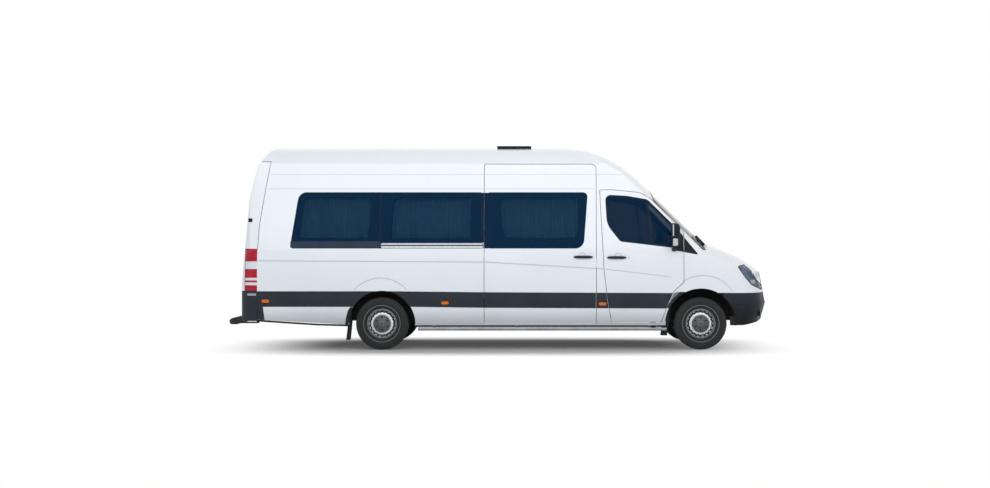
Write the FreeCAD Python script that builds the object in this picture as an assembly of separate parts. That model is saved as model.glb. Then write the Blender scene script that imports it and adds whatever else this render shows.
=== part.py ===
"""High-roof minibus: a body with doors, bonnet and roof hatch, on four wheels with steered knuckles.

Millimetres. X points forward, Y to the vehicle's left, Z up. The origin is on the ground, under the
middle of the length and of the width.
"""
import FreeCAD, Part
import math
import os

from FreeCAD import Vector

# ---------------------------------------------------------------- driving dimensions
WHEELBASE = 4325
FRONT_OVERHANG = 1010       # front axle to the nose
REAR_OVERHANG = 2005        # rear axle to the rear doors
STEP_REACH = 120            # how far the rear step stands out behind the doors
HALF_WIDTH = 995            # widest point of the side walls
ROOF_HEIGHT = 2788
WALL = 60                   # side wall, door and roof, outer skin to trim
SKIN = 35                   # wings, bonnet and bumper shells
DOOR_GAP = 7                # between a moving panel and its surround
SEAT_GAP = 0.3              # between a piece and what carries it
GLASS = 6                   # pane thickness
GLASS_DEPTH = 3             # pane's outer face below the skin
GLASS_LAP = 26              # how far a pane covers its flange

LENGTH = REAR_OVERHANG + WHEELBASE + FRONT_OVERHANG + STEP_REACH
FRONT = LENGTH / 2
REAR = -LENGTH / 2 + STEP_REACH
FRONT_AXLE = FRONT - FRONT_OVERHANG
REAR_AXLE = FRONT_AXLE - WHEELBASE

# cross-section of the body, heights and half widths
SILL_Z = 335
SILL_TUCK = 76              # side curve's foot is this much narrower than the widest point
SILL_DROP = 200             # and this far below the sill
BELT_Z = 1376
BELT_TUCK = 20
EAVE_Z = ROOF_HEIGHT - 300
EAVE_TUCK = 130
CROWN_RADIUS = 3000         # roof, screen and bonnet all bulge at this radius
CROWN_EDGE = 640            # half width where the crown meets the shoulder

# front profile, on the centre line
SCREEN_ANGLE = 43.9         # windscreen below the horizontal, degrees
FOREHEAD_RADIUS = 1520
COWL = (105, 1475)          # foot of the windscreen: from the front axle, height
BONNET_ANGLE = 22.5
BONNET_BEND = 410           # cowl to where the bonnet starts to curve down, along X
BONNET_RADIUS = 1440
BONNET_SWEEP = 20           # degrees that the curve turns through
NOSE_LEAN = 0.2             # nose leans back this much for each mm of height
NOSE_FOOT_Z = 620           # height at which the nose is furthest forward
CHIN_LEAN = 0.28            # and below it the chin tucks back this much for each mm

# rear profile: distance in from the rear end, height
REAR_PROFILE = [(0, 0), (0, 950), (105, 2040), (215, 2500), (470, 2810)]

# underbody
FLOOR_Z = 640               # top of the cabin floor
FLOOR_THICK = 70
RAIL_HEIGHT = 120
RAIL_WIDTH = 80
RAIL_Y = 420

# wheels
TYRE_RADIUS = 356
TYRE_WIDTH = 235
RIM_RADIUS = 203
RIM_WIDTH = 190
TRACK_HALF = HALF_WIDTH - 143    # wheel's middle plane, from the centre line
HUB_FACE = 38               # wheel's mounting face, out from the wheel's middle plane
KINGPIN_Y = TRACK_HALF - 72      # steering axis, from the centre line
FRONT_ARCH = 478
REAR_ARCH = 447
ARCH_DEPTH_FRONT = 440      # wheel house, inward from the widest point
ARCH_DEPTH_REAR = 330
ARCH_SKIN = 12

# side openings, from the front axle
DOOR_FRONT_X = -235         # front door's leading edge, where its hinges are
PILLAR_X = -1420            # sliding door's leading edge
SLIDER_REAR_X = -2935       # sliding door's trailing edge
SLIDER_BOTTOM = 361
SLIDER_TOP = ROOF_HEIGHT - 265
ROOF_SEAM = ROOF_HEIGHT - 221
WINDOW_TOP = 2138
WINDOW_BOTTOM = 1378

PARTS = "parts"


# ---------------------------------------------------------------- outlines and solids
def on_side(u, v):
    return Vector(u, 0, v)


def on_front(u, v):
    return Vector(0, u, v)


def on_plan(u, v):
    return Vector(u, v, 0)


def corners(points):
    """Each point of a closed outline as (before, here, after), with a missing corner radius as 0."""
    full = [(p[0], p[1], p[2] if len(p) > 2 else 0) for p in points]
    return list(zip(full[-1:] + full[:-1], full, full[1:] + full[:1]))


def unit(a, b):
    length = math.hypot(b[0] - a[0], b[1] - a[1])
    return (b[0] - a[0]) / length, (b[1] - a[1]) / length


def grow(points, by):
    """The outline with each side moved out by that much, or in where it is negative."""
    area = sum(h[0] * a[1] - a[0] * h[1] for _, h, a in corners(points))
    sense = 1 if area > 0 else -1
    moved = []
    for before, here, after in corners(points):
        d1, d2 = unit(before, here), unit(here, after)
        n1 = (d1[1] * sense, -d1[0] * sense)
        n2 = (d2[1] * sense, -d2[0] * sense)
        share = by / (1 + n1[0] * n2[0] + n1[1] * n2[1])
        convex = (d1[0] * d2[1] - d1[1] * d2[0]) * sense > 0
        radius = max(here[2] + (by if convex else -by), 0) if here[2] else 0
        moved.append((here[0] + share * (n1[0] + n2[0]), here[1] + share * (n1[1] + n2[1]), radius))
    return moved


def outline(points, place):
    """Closed wire through (u, v, corner radius) points, its corners rounded by tangent arcs."""
    starts = []
    for before, here, after in corners(points):
        d1, d2 = unit(before, here), unit(here, after)
        turn = math.acos(max(-1, min(1, d1[0] * d2[0] + d1[1] * d2[1])))
        if here[2] <= 0 or turn < 1e-4:
            starts.append(((here[0], here[1]), None, (here[0], here[1])))
            continue
        back = here[2] * math.tan(turn / 2)
        a = (here[0] - back * d1[0], here[1] - back * d1[1])
        b = (here[0] + back * d2[0], here[1] + back * d2[1])
        inward = (d2[0] - d1[0], d2[1] - d1[1])
        size = math.hypot(*inward)
        reach = here[2] / math.cos(turn / 2) - here[2]
        middle = (here[0] + inward[0] / size * reach, here[1] + inward[1] / size * reach)
        starts.append((a, middle, b))
    edges = []
    for (a, middle, b), (following, _, _) in zip(starts, starts[1:] + starts[:1]):
        if middle:
            edges.append(Part.Arc(place(*a), place(*middle), place(*b)).toShape())
        if math.hypot(following[0] - b[0], following[1] - b[1]) > 1e-4:
            edges.append(Part.LineSegment(place(*b), place(*following)).toShape())
    return Part.Wire(edges)


def prism(points, place, start, end):
    """Solid of an outline, between two distances along the axis that the outline faces."""
    axis = {on_side: Vector(0, 1, 0), on_front: Vector(1, 0, 0), on_plan: Vector(0, 0, 1)}[place]
    face = Part.Face(outline(points, place))
    face.translate(axis * start)
    solid = face.extrude(axis * (end - start))
    if solid.Volume < 0:
        solid.reverse()
    return solid


def box(x0, x1, y0, y1, z0, z1):
    return Part.makeBox(x1 - x0, y1 - y0, z1 - z0, Vector(x0, y0, z0))


def tube_y(x, z, radius, y0, y1):
    """Cylinder along Y."""
    return Part.makeCylinder(radius, y1 - y0, Vector(x, y0, z), Vector(0, 1, 0))


def left(shape):
    """The left-hand copy of a right-hand shape."""
    return shape.mirror(Vector(0, 0, 0), Vector(0, 1, 0))


def both(shape):
    """A right-hand shape and its left-hand copy."""
    return [shape, left(shape)]


def join(shapes):
    return shapes[0].multiFuse(shapes[1:]).removeSplitter() if len(shapes) > 1 else shapes[0]


def arc(a, middle, b):
    return Part.Arc(a, middle, b).toShape()


def crown_drop(y):
    return CROWN_RADIUS - math.sqrt(CROWN_RADIUS**2 - y**2)


# ---------------------------------------------------------------- body shape
def section_solid(inset):
    """Side walls, shoulders and crowned roof, run along the whole vehicle."""
    top = ROOF_HEIGHT - inset
    edge = CROWN_EDGE - inset * 0.4
    eave = (HALF_WIDTH - EAVE_TUCK - inset, EAVE_Z - inset * 0.4)
    belt = (HALF_WIDTH - BELT_TUCK - inset, BELT_Z)
    sill = (HALF_WIDTH - SILL_TUCK - inset, SILL_Z - SILL_DROP)
    bulge = (HALF_WIDTH - inset, (SILL_Z + BELT_Z) / 2 - 60)
    crown = (edge, top - crown_drop(edge))
    side_lean = (eave[0] - belt[0]) / (eave[1] - belt[1])
    roof_fall = edge / math.sqrt(CROWN_RADIUS**2 - edge**2)
    z = (crown[1] - roof_fall * (eave[0] - side_lean * eave[1] - crown[0])) / (1 + roof_fall * side_lean)
    y = eave[0] + side_lean * (z - eave[1])
    shoulder = [0.25 * eave[k] + 0.5 * (y, z)[k] + 0.25 * crown[k] for k in (0, 1)]

    def at(point, side):
        return Vector(0, point[0] * side, point[1])

    edges = []
    for side in (-1, 1):
        half = [
            arc(at(sill, side), at(bulge, side), at(belt, side)),
            Part.LineSegment(at(belt, side), at(eave, side)).toShape(),
            arc(at(eave, side), at(shoulder, side), at(crown, side)),
        ]
        edges += half if side < 0 else half[::-1]
    roof = arc(at(crown, -1), Vector(0, 0, top), at(crown, 1))
    floor = Part.LineSegment(at(sill, 1), at(sill, -1)).toShape()
    wire = Part.Wire(edges[:3] + [roof] + edges[3:] + [floor])
    face = Part.Face(wire)
    face.translate(Vector(-LENGTH, 0, 0))
    return face.extrude(Vector(2 * LENGTH, 0, 0))


def crowned_face(height, depth, across=HALF_WIDTH + 200):
    """Upright face in the plane X = 0: crowned top at that height, flat bottom that far below it."""
    side = height - crown_drop(across)
    a, b = Vector(0, -across, side), Vector(0, across, side)
    c, d = Vector(0, across, height - depth), Vector(0, -across, height - depth)
    lines = [Part.LineSegment(p, q).toShape() for p, q in ((b, c), (c, d), (d, a))]
    return Part.Face(Part.Wire([arc(a, Vector(0, 0, height), b)] + lines))


def forehead_start():
    """Where the roof starts to curve down to the windscreen: X, and the curve's centre height."""
    cowl_x = FRONT_AXLE + COWL[0]
    slope = math.tan(math.radians(SCREEN_ANGLE))
    meet = cowl_x - (ROOF_HEIGHT - COWL[1]) / slope
    return meet - FOREHEAD_RADIUS * math.tan(math.radians(SCREEN_ANGLE / 2)), ROOF_HEIGHT - FOREHEAD_RADIUS


def front_profile_solid(inset):
    """Everything under the roof line, windscreen and bonnet, each with the same crown."""
    x, z = forehead_start()
    axis = Vector(0, 1, 0)
    cowl_x = FRONT_AXLE + COWL[0]
    face = crowned_face(FOREHEAD_RADIUS - inset, FOREHEAD_RADIUS - inset)
    forehead = face.revolve(Vector(0, 0, 0), axis, SCREEN_ANGLE)
    face.rotate(Vector(0, 0, 0), axis, SCREEN_ANGLE)
    down = math.radians(SCREEN_ANGLE)
    screen = face.extrude(Vector(math.cos(down), 0, -math.sin(down)) * 1800)
    for shape in (forehead, screen):
        shape.translate(Vector(x, 0, z))
    rear = box(-LENGTH, x, -HALF_WIDTH - 200, HALF_WIDTH + 200, 0, ROOF_HEIGHT + 200)
    under = box(x - 10, cowl_x - 60, -HALF_WIDTH - 200, HALF_WIDTH + 200, 0, z + 5)

    fall = math.radians(BONNET_ANGLE)
    bend_x = cowl_x + BONNET_BEND
    bend_z = COWL[1] - BONNET_BEND * math.tan(fall)
    centre = Vector(bend_x - BONNET_RADIUS * math.sin(fall), 0, bend_z - BONNET_RADIUS * math.cos(fall))
    face = crowned_face(BONNET_RADIUS - inset, 700)
    face.rotate(Vector(0, 0, 0), axis, BONNET_ANGLE)
    bonnet = face.extrude(Vector(-math.cos(fall), 0, math.sin(fall)) * (BONNET_BEND / math.cos(fall) + 250))
    nose = face.revolve(Vector(0, 0, 0), axis, BONNET_SWEEP + 15)
    for shape in (bonnet, nose):
        shape.translate(centre)
    low = box(cowl_x - 400, FRONT + 300, -HALF_WIDTH - 200, HALF_WIDTH + 200, 0, COWL[1] - 700)
    return screen.fuse([forehead, rear, under]).fuse([bonnet, nose, low])


def end_prism(front, inset, lean, foot_x, foot_z):
    """Everything on the body's side of a bowed end face that leans; front is 1, rear is -1."""
    bow, turn = (110, 480) if front > 0 else (75, 250)
    flat = 640 if front > 0 else 800
    tip = foot_x - front * inset
    edge = (tip - front * bow, flat - inset * 0.5)
    corner = (tip - front * (bow + (turn - bow) * 0.36), HALF_WIDTH - inset - (HALF_WIDTH - flat) * 0.27)
    side = (tip - front * turn, HALF_WIDTH + 4 - inset)
    back = tip - front * 2 * LENGTH

    def at(point, hand):
        return Vector(point[0], point[1] * hand, 0)

    outer = HALF_WIDTH + 150
    wire = Part.Wire([
        arc(at(edge, -1), Vector(tip, 0, 0), at(edge, 1)),
        arc(at(edge, 1), at(corner, 1), at(side, 1)),
        Part.LineSegment(at(side, 1), at((side[0] - front * 5, outer), 1)).toShape(),
        Part.LineSegment(at((side[0] - front * 5, outer), 1), at((back, outer), 1)).toShape(),
        Part.LineSegment(at((back, outer), 1), at((back, outer), -1)).toShape(),
        Part.LineSegment(at((back, outer), -1), at((side[0] - front * 5, outer), -1)).toShape(),
        Part.LineSegment(at((side[0] - front * 5, outer), -1), at(side, -1)).toShape(),
        arc(at(side, -1), at(corner, -1), at(edge, -1)),
    ])
    face = Part.Face(wire)
    face.translate(Vector(front * lean * foot_z, 0, 0))
    return face.extrude(Vector(-front * lean, 0, 1) * 3200)


def rear_end(inset):
    """Everything ahead of the bowed rear face."""
    shape = None
    for (in0, z0), (in1, z1) in zip(REAR_PROFILE, REAR_PROFILE[1:]):
        cut = end_prism(-1, inset, (in1 - in0) / (z1 - z0), REAR + in0, z0)
        shape = shape.common(cut) if shape else cut
    return shape


def nose_end(inset):
    upper = end_prism(1, inset, NOSE_LEAN, FRONT, NOSE_FOOT_Z)
    return upper.common(end_prism(1, inset, -CHIN_LEAN, FRONT, NOSE_FOOT_Z))


SKIN_OUT = section_solid(-SEAT_GAP)
SIDES_IN = section_solid(WALL)
FRONT_IN = front_profile_solid(WALL)
REAR_IN = rear_end(WALL)
BODY = section_solid(0).common(front_profile_solid(0)).common(nose_end(0)).common(rear_end(0))
BODY = BODY.common(box(-LENGTH, LENGTH, -LENGTH, LENGTH, SILL_Z, ROOF_HEIGHT + 100))
BAY = section_solid(SKIN).common(front_profile_solid(SKIN)).common(nose_end(SKIN))


def panel(region, *insides):
    """The layer of the body's skin that lies in a region and outside any of the inner shapes."""
    skin = BODY.common(region)
    layers = [skin.cut(inside) for inside in insides]
    return join([layer for layer in layers if layer.Solids])


def right_region(points, depth=500):
    """Region of the right-hand side wall inside a side-view outline."""
    return prism(points, on_side, -HALF_WIDTH - 120, -depth)


def glaze(wall, points, skin, place=on_side, start=-HALF_WIDTH - 120, end=-500):
    """Cuts a window in a wall. Returns the wall and the pane that sits in it."""
    hole = prism(grow(points, -GLASS_LAP), place, start, end)
    seat = prism(points, place, start, end).cut(skin(GLASS + GLASS_DEPTH + SEAT_GAP))
    pane = prism(grow(points, -SEAT_GAP), place, start, end).common(skin(GLASS_DEPTH))
    return wall.cut(hole).cut(seat), pane.cut(skin(GLASS + GLASS_DEPTH))


# ---------------------------------------------------------------- outlines in side view
def from_axle(points):
    return [(FRONT_AXLE + p[0],) + tuple(p[1:]) for p in points]


FRONT_DOOR = from_axle([
    (-1207, 375, 20), (-544, 372, 20), (-480, 540), (-465, 606, 60), (-382, 788, 120), (-235, 925, 40),
    (-235, 1606, 30), (-640, 2035, 120), (-830, 2135, 90), (-1200, 2172, 200), (-1365, 2168, 8),
    (-1311, 1099, 40), (-1268, 733, 300),
])
FRONT_WINDOW = from_axle([
    (-1089, 1472, 60), (-290, 1378, 25), (-290, 1612, 15), (-720, 2040, 90), (-1000, 2090, 200),
    (-1293, 2106, 70), (-1270, 1700, 300),
])
SLIDER = [
    (FRONT_AXLE + SLIDER_REAR_X, SLIDER_BOTTOM, 15), (FRONT_AXLE + PILLAR_X, SLIDER_BOTTOM, 15),
    (FRONT_AXLE + PILLAR_X, SLIDER_TOP, 60), (FRONT_AXLE + SLIDER_REAR_X, SLIDER_TOP, 15),
]
SLIDER_WINDOW = [
    (FRONT_AXLE + SLIDER_REAR_X + 55, WINDOW_BOTTOM, 40),
    (FRONT_AXLE + PILLAR_X - 172, WINDOW_BOTTOM, 120),
    (FRONT_AXLE + PILLAR_X - 113, WINDOW_TOP, 60),
    (FRONT_AXLE + SLIDER_REAR_X + 55, WINDOW_TOP, 20),
]
REAR_WINDOW_X = FRONT_AXLE + SLIDER_REAR_X - 35
QUARTER_WINDOW = [
    (REAR_AXLE - 1246, WINDOW_BOTTOM, 40), (REAR_WINDOW_X, WINDOW_BOTTOM, 20),
    (REAR_WINDOW_X, WINDOW_TOP, 20), (REAR_AXLE - 1130, WINDOW_TOP, 120),
]
REAR_DOOR_BOTTOM = 478
REAR_DOOR_TOP = ROOF_SEAM - 7
# rear door's edge on the body's side, above the lamp: distance in from the rear end, height
REAR_DOOR_EDGE = [(319, 1372), (335, 1670), (382, 1980), (412, 2175), (452, 2407), (480, REAR_DOOR_TOP)]
REAR_DOOR = [
    (REAR - 60, REAR_DOOR_BOTTOM), (REAR + 80, REAR_DOOR_BOTTOM), (REAR + 80, 800), (REAR + 140, 800),
    (REAR + 140, 1372),
] + [(REAR + inside, z) for inside, z in REAR_DOOR_EDGE] + [(REAR - 60, REAR_DOOR_TOP)]
TAIL_LIGHT = [(REAR + 319, 808), (REAR + 319, 1365), (REAR + 147, 1365), (REAR + 147, 808)]
SIDE_REAR_X = REAR + 319

# regions seen from above, as half widths on X
SCREEN_TOP_X = FRONT_AXLE - 632
SCREEN_FOOT_X = FRONT_AXLE + 84
SCREEN = [
    (SCREEN_TOP_X, -770, 70), (SCREEN_FOOT_X, -875, 50), (SCREEN_FOOT_X, 875, 50), (SCREEN_TOP_X, 770, 70),
]
BONNET_REAR_X = FRONT_AXLE + COWL[0] + 13
BONNET_HALF = 720
BONNET_LOW_Z = 1052
BUMPER_TOP = 775

parts = {}


def add(name, *shapes):
    """Files shapes under a part's name, each solid on its own."""
    for shape in shapes:
        parts.setdefault(name, []).extend(shape.Solids)


# ---------------------------------------------------------------- side walls and roof
def wheel_space(axle_x, radius):
    return tube_y(axle_x, TYRE_RADIUS, radius, -HALF_WIDTH - 150, -500)


body_side = [
    (SIDE_REAR_X, 410), (REAR_AXLE - 480, 345), (REAR_AXLE - 400, SILL_Z), (FRONT_AXLE - 400, SILL_Z),
    (FRONT_AXLE + DOOR_FRONT_X, SILL_Z), (FRONT_AXLE + DOOR_FRONT_X, 1450), (FRONT_AXLE - 20, 1450),
    (FRONT_AXLE - 20, 2000), (FRONT_AXLE - 1240, ROOF_SEAM),
    (REAR + REAR_DOOR_EDGE[-1][0] + DOOR_GAP, ROOF_SEAM),
] + [(REAR + inside + DOOR_GAP, z) for inside, z in REAR_DOOR_EDGE[-2:0:-1]] + [
    (SIDE_REAR_X + DOOR_GAP, 1372 + DOOR_GAP), (SIDE_REAR_X + DOOR_GAP, 1365), (SIDE_REAR_X, 1365),
]
side_skin = panel(right_region(body_side, 600), SIDES_IN, FRONT_IN, REAR_IN)
screen_space = prism(SCREEN, on_plan, 1000, 3000)
side_skin = side_skin.cut(screen_space)
side_skin = side_skin.cut(box(0, SCREEN_TOP_X + 100, -770, 0, 1000, 3000))
side_skin = side_skin.cut(right_region(grow(FRONT_DOOR, DOOR_GAP)))
side_skin = side_skin.cut(wheel_space(REAR_AXLE, REAR_ARCH)).cut(wheel_space(FRONT_AXLE, FRONT_ARCH))
side_skin, quarter_pane = glaze(side_skin, QUARTER_WINDOW, section_solid)
door_side = side_skin.cut(right_region(grow(SLIDER, DOOR_GAP)))
plain_side, slider_pane = glaze(side_skin, SLIDER_WINDOW, section_solid)
add("side_wall_right", door_side)
add("side_wall_left", left(plain_side))
add("side_windows", *both(quarter_pane), *both(slider_pane))

header_x = FRONT_AXLE - 1240
roof_space = SIDES_IN.common(FRONT_IN)
roof_space = roof_space.common(box(REAR + 500, FRONT, -HALF_WIDTH, HALF_WIDTH, 0, ROOF_HEIGHT))
roof = panel(box(REAR - 60, header_x, -HALF_WIDTH, HALF_WIDTH, ROOF_SEAM, ROOF_HEIGHT + 50), roof_space)
header = panel(box(header_x - 80, SCREEN_TOP_X - SEAT_GAP, -770, 770, 1900, ROOF_HEIGHT + 50), roof_space)
roof = join([roof, header])
HATCH_X0 = FRONT_AXLE - 2777
HATCH_X1 = HATCH_X0 + 474
HATCH_HALF = 235
HATCH_FRAME = 28
hatch_hole = box(HATCH_X0 + HATCH_FRAME, HATCH_X1 - HATCH_FRAME, -HATCH_HALF + HATCH_FRAME,
                 HATCH_HALF - HATCH_FRAME, ROOF_HEIGHT - 150, ROOF_HEIGHT + 100)
roof = roof.cut(hatch_hole)
add("roof", roof)

# roof hatch: a frame on the crown, and a lid hinged along its rear edge
frame_top = ROOF_HEIGHT + 10
ring = box(HATCH_X0, HATCH_X1, -HATCH_HALF, HATCH_HALF, ROOF_HEIGHT - 40, frame_top)
ring = ring.cut(section_solid(-SEAT_GAP)).cut(hatch_hole)
add("hatch_frame", ring)
LID_TOP = ROOF_HEIGHT + 31
lid = box(HATCH_X0 - 4, HATCH_X1 + 6, -HATCH_HALF - 6, HATCH_HALF + 6, frame_top + 5, LID_TOP)
lid = lid.makeChamfer(8, [e for e in lid.Edges if e.BoundBox.ZMin > LID_TOP - 1])
add("hatch_lid", lid)

# ---------------------------------------------------------------- doors
front_door = panel(right_region(FRONT_DOOR), SIDES_IN)
front_door = front_door.cut(screen_space)
front_door, front_pane = glaze(front_door, FRONT_WINDOW, section_solid)
add("door_right", front_door)
add("door_left", left(front_door))
add("door_glass_right", front_pane)
add("door_glass_left", left(front_pane))

slider = panel(right_region(SLIDER), SIDES_IN)
slider, _ = glaze(slider, SLIDER_WINDOW, section_solid)
roller_x0 = FRONT_AXLE + SLIDER_REAR_X - DOOR_GAP + SEAT_GAP
roller_y = -HALF_WIDTH + 45
rollers = [box(roller_x0, roller_x0 + 66, roller_y, roller_y + 20, z, z + 60) for z in (700, 1250)]
add("sliding_door", join([slider] + rollers))

rear_skin = panel(prism(REAR_DOOR, on_side, -HALF_WIDTH - 60, -3.5), SIDES_IN, REAR_IN)
REAR_WINDOW = [(-690, 1420, 60), (-130, 1420, 60), (-130, 2030, 60), (-690, 2030, 60)]


def rear_face(inset):
    """Everything ahead of the rear doors' middle stretch, where their windows are."""
    (in0, z0), (in1, z1) = REAR_PROFILE[1:3]
    return end_prism(-1, inset, (in1 - in0) / (z1 - z0), REAR + in0, z0)


rear_door, rear_pane = glaze(rear_skin, REAR_WINDOW, rear_face, on_front, REAR - 50, REAR + 420)
add("rear_door_right", rear_door)
add("rear_door_left", left(rear_door))
add("rear_glass_right", rear_pane)
add("rear_glass_left", left(rear_pane))

# ---------------------------------------------------------------- corners at the rear
lamp_region = prism(TAIL_LIGHT, on_side, -HALF_WIDTH - 60, -600)
lamp = panel(lamp_region, SIDES_IN, REAR_IN)
add("tail_lights", *both(lamp))
bumper_region = prism([
    (SIDE_REAR_X, 402), (SIDE_REAR_X, 807.7), (REAR + 147, 807.7), (REAR + 147, 793), (REAR + 87, 793),
    (REAR + 87, 471), (REAR - 60, 471), (REAR - 60, 402),
], on_side, -HALF_WIDTH - 60, HALF_WIDTH + 60)
rear_bumper = panel(bumper_region, SIDES_IN, REAR_IN)
add("rear_bumper", rear_bumper)

# ---------------------------------------------------------------- front end
WING_REAR_X = FRONT_AXLE + DOOR_FRONT_X + DOOR_GAP
wing_region = prism([
    (WING_REAR_X, BUMPER_TOP), (FRONT + 20, BUMPER_TOP), (FRONT + 20, 1700), (FRONT_AXLE - 19.7, 1700),
    (FRONT_AXLE - 19.7, 1449.7), (WING_REAR_X, 1449.7),
], on_side, -HALF_WIDTH - 60, HALF_WIDTH + 60)
front_shell = panel(wing_region, BAY)
front_wheel_room = wheel_space(FRONT_AXLE, FRONT_ARCH)
front_shell = front_shell.cut(front_wheel_room).cut(left(front_wheel_room))
bonnet_space = box(BONNET_REAR_X, FRONT + 20, -BONNET_HALF, BONNET_HALF, BONNET_LOW_Z, 1700)
bonnet = front_shell.common(bonnet_space)
add("bonnet", bonnet)
BONNET_ROOM = BONNET_HALF + DOOR_GAP
BONNET_ROOM_Z = BONNET_LOW_Z - DOOR_GAP
around_bonnet = box(BONNET_REAR_X - DOOR_GAP, FRONT + 20, -BONNET_ROOM, BONNET_ROOM, BONNET_ROOM_Z, 1700)
around_screen = prism(grow(SCREEN, SEAT_GAP), on_plan, 1000, 3000)
HEADLIGHT = from_axle([
    (501, 1133, 10), (621, 1153, 20), (694, 1096, 30), (780, 957, 60), (900, 880, 40), (900, 800, 20),
    (701, 880, 60), (598, 993, 60), (525, 1096, 30),
])
lamp_zone = prism(HEADLIGHT, on_side, -HALF_WIDTH - 60, -470)
lamp_gap = prism(grow(HEADLIGHT, 1), on_side, -HALF_WIDTH - 61, -469)
headlight = front_shell.common(lamp_zone).cut(around_bonnet)
add("headlights", *both(headlight))
GRILLE = [(-468, 790), (468, 790), (468, BONNET_ROOM_Z - 1), (-468, BONNET_ROOM_Z - 1)]
grille_zone = prism(GRILLE, on_front, FRONT - 200, FRONT + 50)
cowl_zone = box(SCREEN_FOOT_X + SEAT_GAP, BONNET_REAR_X - DOOR_GAP, -BONNET_ROOM, BONNET_ROOM, 1300, 1700)
grille = front_shell.common(grille_zone)
add("grille", grille)
cowl = front_shell.common(cowl_zone)
add("cowl", cowl)
grille_gap = prism(grow(GRILLE, 0.5), on_front, FRONT - 201, FRONT + 51)
cowl_gap = box(SCREEN_FOOT_X, BONNET_REAR_X, -BONNET_ROOM - 0.4, BONNET_ROOM + 0.4, 1299, 1701)
wings = front_shell
for hole in (around_bonnet, lamp_gap, left(lamp_gap), grille_gap, cowl_gap, around_screen):
    wings = wings.cut(hole)
add("front_wings", *[w for w in wings.Solids if w.Volume > 2e6])

bumper_zone = box(FRONT_AXLE + 300, FRONT + 20, -HALF_WIDTH - 60, HALF_WIDTH + 60, 250, BUMPER_TOP - 0.5)
bumper = panel(bumper_zone, BAY)
bumper = bumper.cut(front_wheel_room).cut(left(front_wheel_room))
underside = [
    (FRONT_AXLE + 290, 200), (FRONT_AXLE + 290, SILL_Z - 1), (FRONT - 445, SILL_Z - 1), (FRONT - 58, 402),
    (FRONT + 50, 402), (FRONT + 50, 200),
]
bumper = bumper.cut(prism(underside, on_side, -HALF_WIDTH - 60, HALF_WIDTH + 60))
EYE_Y = -560
EYE_Z = 520
bumper = bumper.cut(Part.makeCylinder(32, 900, Vector(FRONT - 700, EYE_Y, EYE_Z), Vector(1, 0, 0)))
add("front_bumper", bumper)

screen_hole = prism(grow(SCREEN, -GLASS_LAP), on_plan, 1000, 3000)
pane = prism(grow(SCREEN, -SEAT_GAP), on_plan, 1000, 3000).common(section_solid(GLASS_DEPTH))
pane = pane.common(front_profile_solid(GLASS_DEPTH)).cut(front_profile_solid(GLASS + GLASS_DEPTH))
add("windscreen", pane)
screen_frame = BODY.common(screen_space).common(front_profile_solid(GLASS + GLASS_DEPTH + SEAT_GAP))
screen_frame = screen_frame.cut(front_profile_solid(WALL)).cut(screen_hole).common(section_solid(GLASS))
add("screen_frame", screen_frame)


def wiper(x0, y0, x1, y1, wide, thick):
    """Strip of the layer above the windscreen, between two points seen from above."""
    dx, dy = unit((x0, y0), (x1, y1))
    nx, ny = -dy * wide / 2, dx * wide / 2
    strip = prism([(x0 + nx, y0 + ny), (x1 + nx, y1 + ny), (x1 - nx, y1 - ny), (x0 - nx, y0 - ny)],
                  on_plan, 1200, 2200)
    return strip.common(front_profile_solid(-thick)).cut(front_profile_solid(-SEAT_GAP))


for y0, y1 in ((-560, 60), (80, 700)):
    blade = wiper(SCREEN_FOOT_X - 52, y0, SCREEN_FOOT_X - 30, y1, 16, 16)
    arm = wiper(SCREEN_FOOT_X - 45, y0 + 300, SCREEN_FOOT_X + 14, y0 + 20, 22, 22)
    add("wipers", join([blade, arm]))

# ---------------------------------------------------------------- wheel houses, floor, frame
def wheel_house(axle_x, arch, depth):
    inner_y = -(HALF_WIDTH - depth)
    outer_y = -HALF_WIDTH
    drum = tube_y(axle_x, TYRE_RADIUS, arch + ARCH_SKIN, outer_y, inner_y + ARCH_SKIN)
    drum = drum.cut(tube_y(axle_x, TYRE_RADIUS, arch, outer_y - 1, inner_y))
    keep = box(axle_x - arch - 50, axle_x + arch + 50, -HALF_WIDTH, 0, SILL_Z + 45, 1200)
    return drum.common(keep)


def house_space(axle_x, arch, depth):
    return tube_y(axle_x, TYRE_RADIUS, arch + ARCH_SKIN + SEAT_GAP, -HALF_WIDTH,
                  -(HALF_WIDTH - depth) + ARCH_SKIN + SEAT_GAP)


FLOOR_HALF = HALF_WIDTH - WALL - 22
TRIM_IN = section_solid(WALL + SEAT_GAP)
floor_low = FLOOR_Z - FLOOR_THICK
floor = join([
    box(REAR + 320, FRONT_AXLE - 160, -HALF_WIDTH, HALF_WIDTH, floor_low, FLOOR_Z).common(TRIM_IN),
    box(REAR + 160, REAR + 330, -800, 800, floor_low, FLOOR_Z),
])
door_room_y = -HALF_WIDTH + WALL + 26
behind_front_door = box(FRONT_AXLE - 1380, FRONT_AXLE - 150, -HALF_WIDTH, door_room_y, 0, FLOOR_Z + 1)
floor = floor.cut(behind_front_door).cut(left(behind_front_door))
bulkhead = box(FRONT_AXLE - 160 + SEAT_GAP, FRONT_AXLE - 140, -FLOOR_HALF + 10, FLOOR_HALF - 10,
               floor_low, 1330)
ARCHES = [(FRONT_AXLE, FRONT_ARCH, ARCH_DEPTH_FRONT), (REAR_AXLE, REAR_ARCH, ARCH_DEPTH_REAR)]
for axle_x, arch, depth in ARCHES:
    space = house_space(axle_x, arch, depth)
    floor = floor.cut(space).cut(left(space))
    bulkhead = bulkhead.cut(space).cut(left(space))
add("bulkhead", bulkhead)

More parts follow.
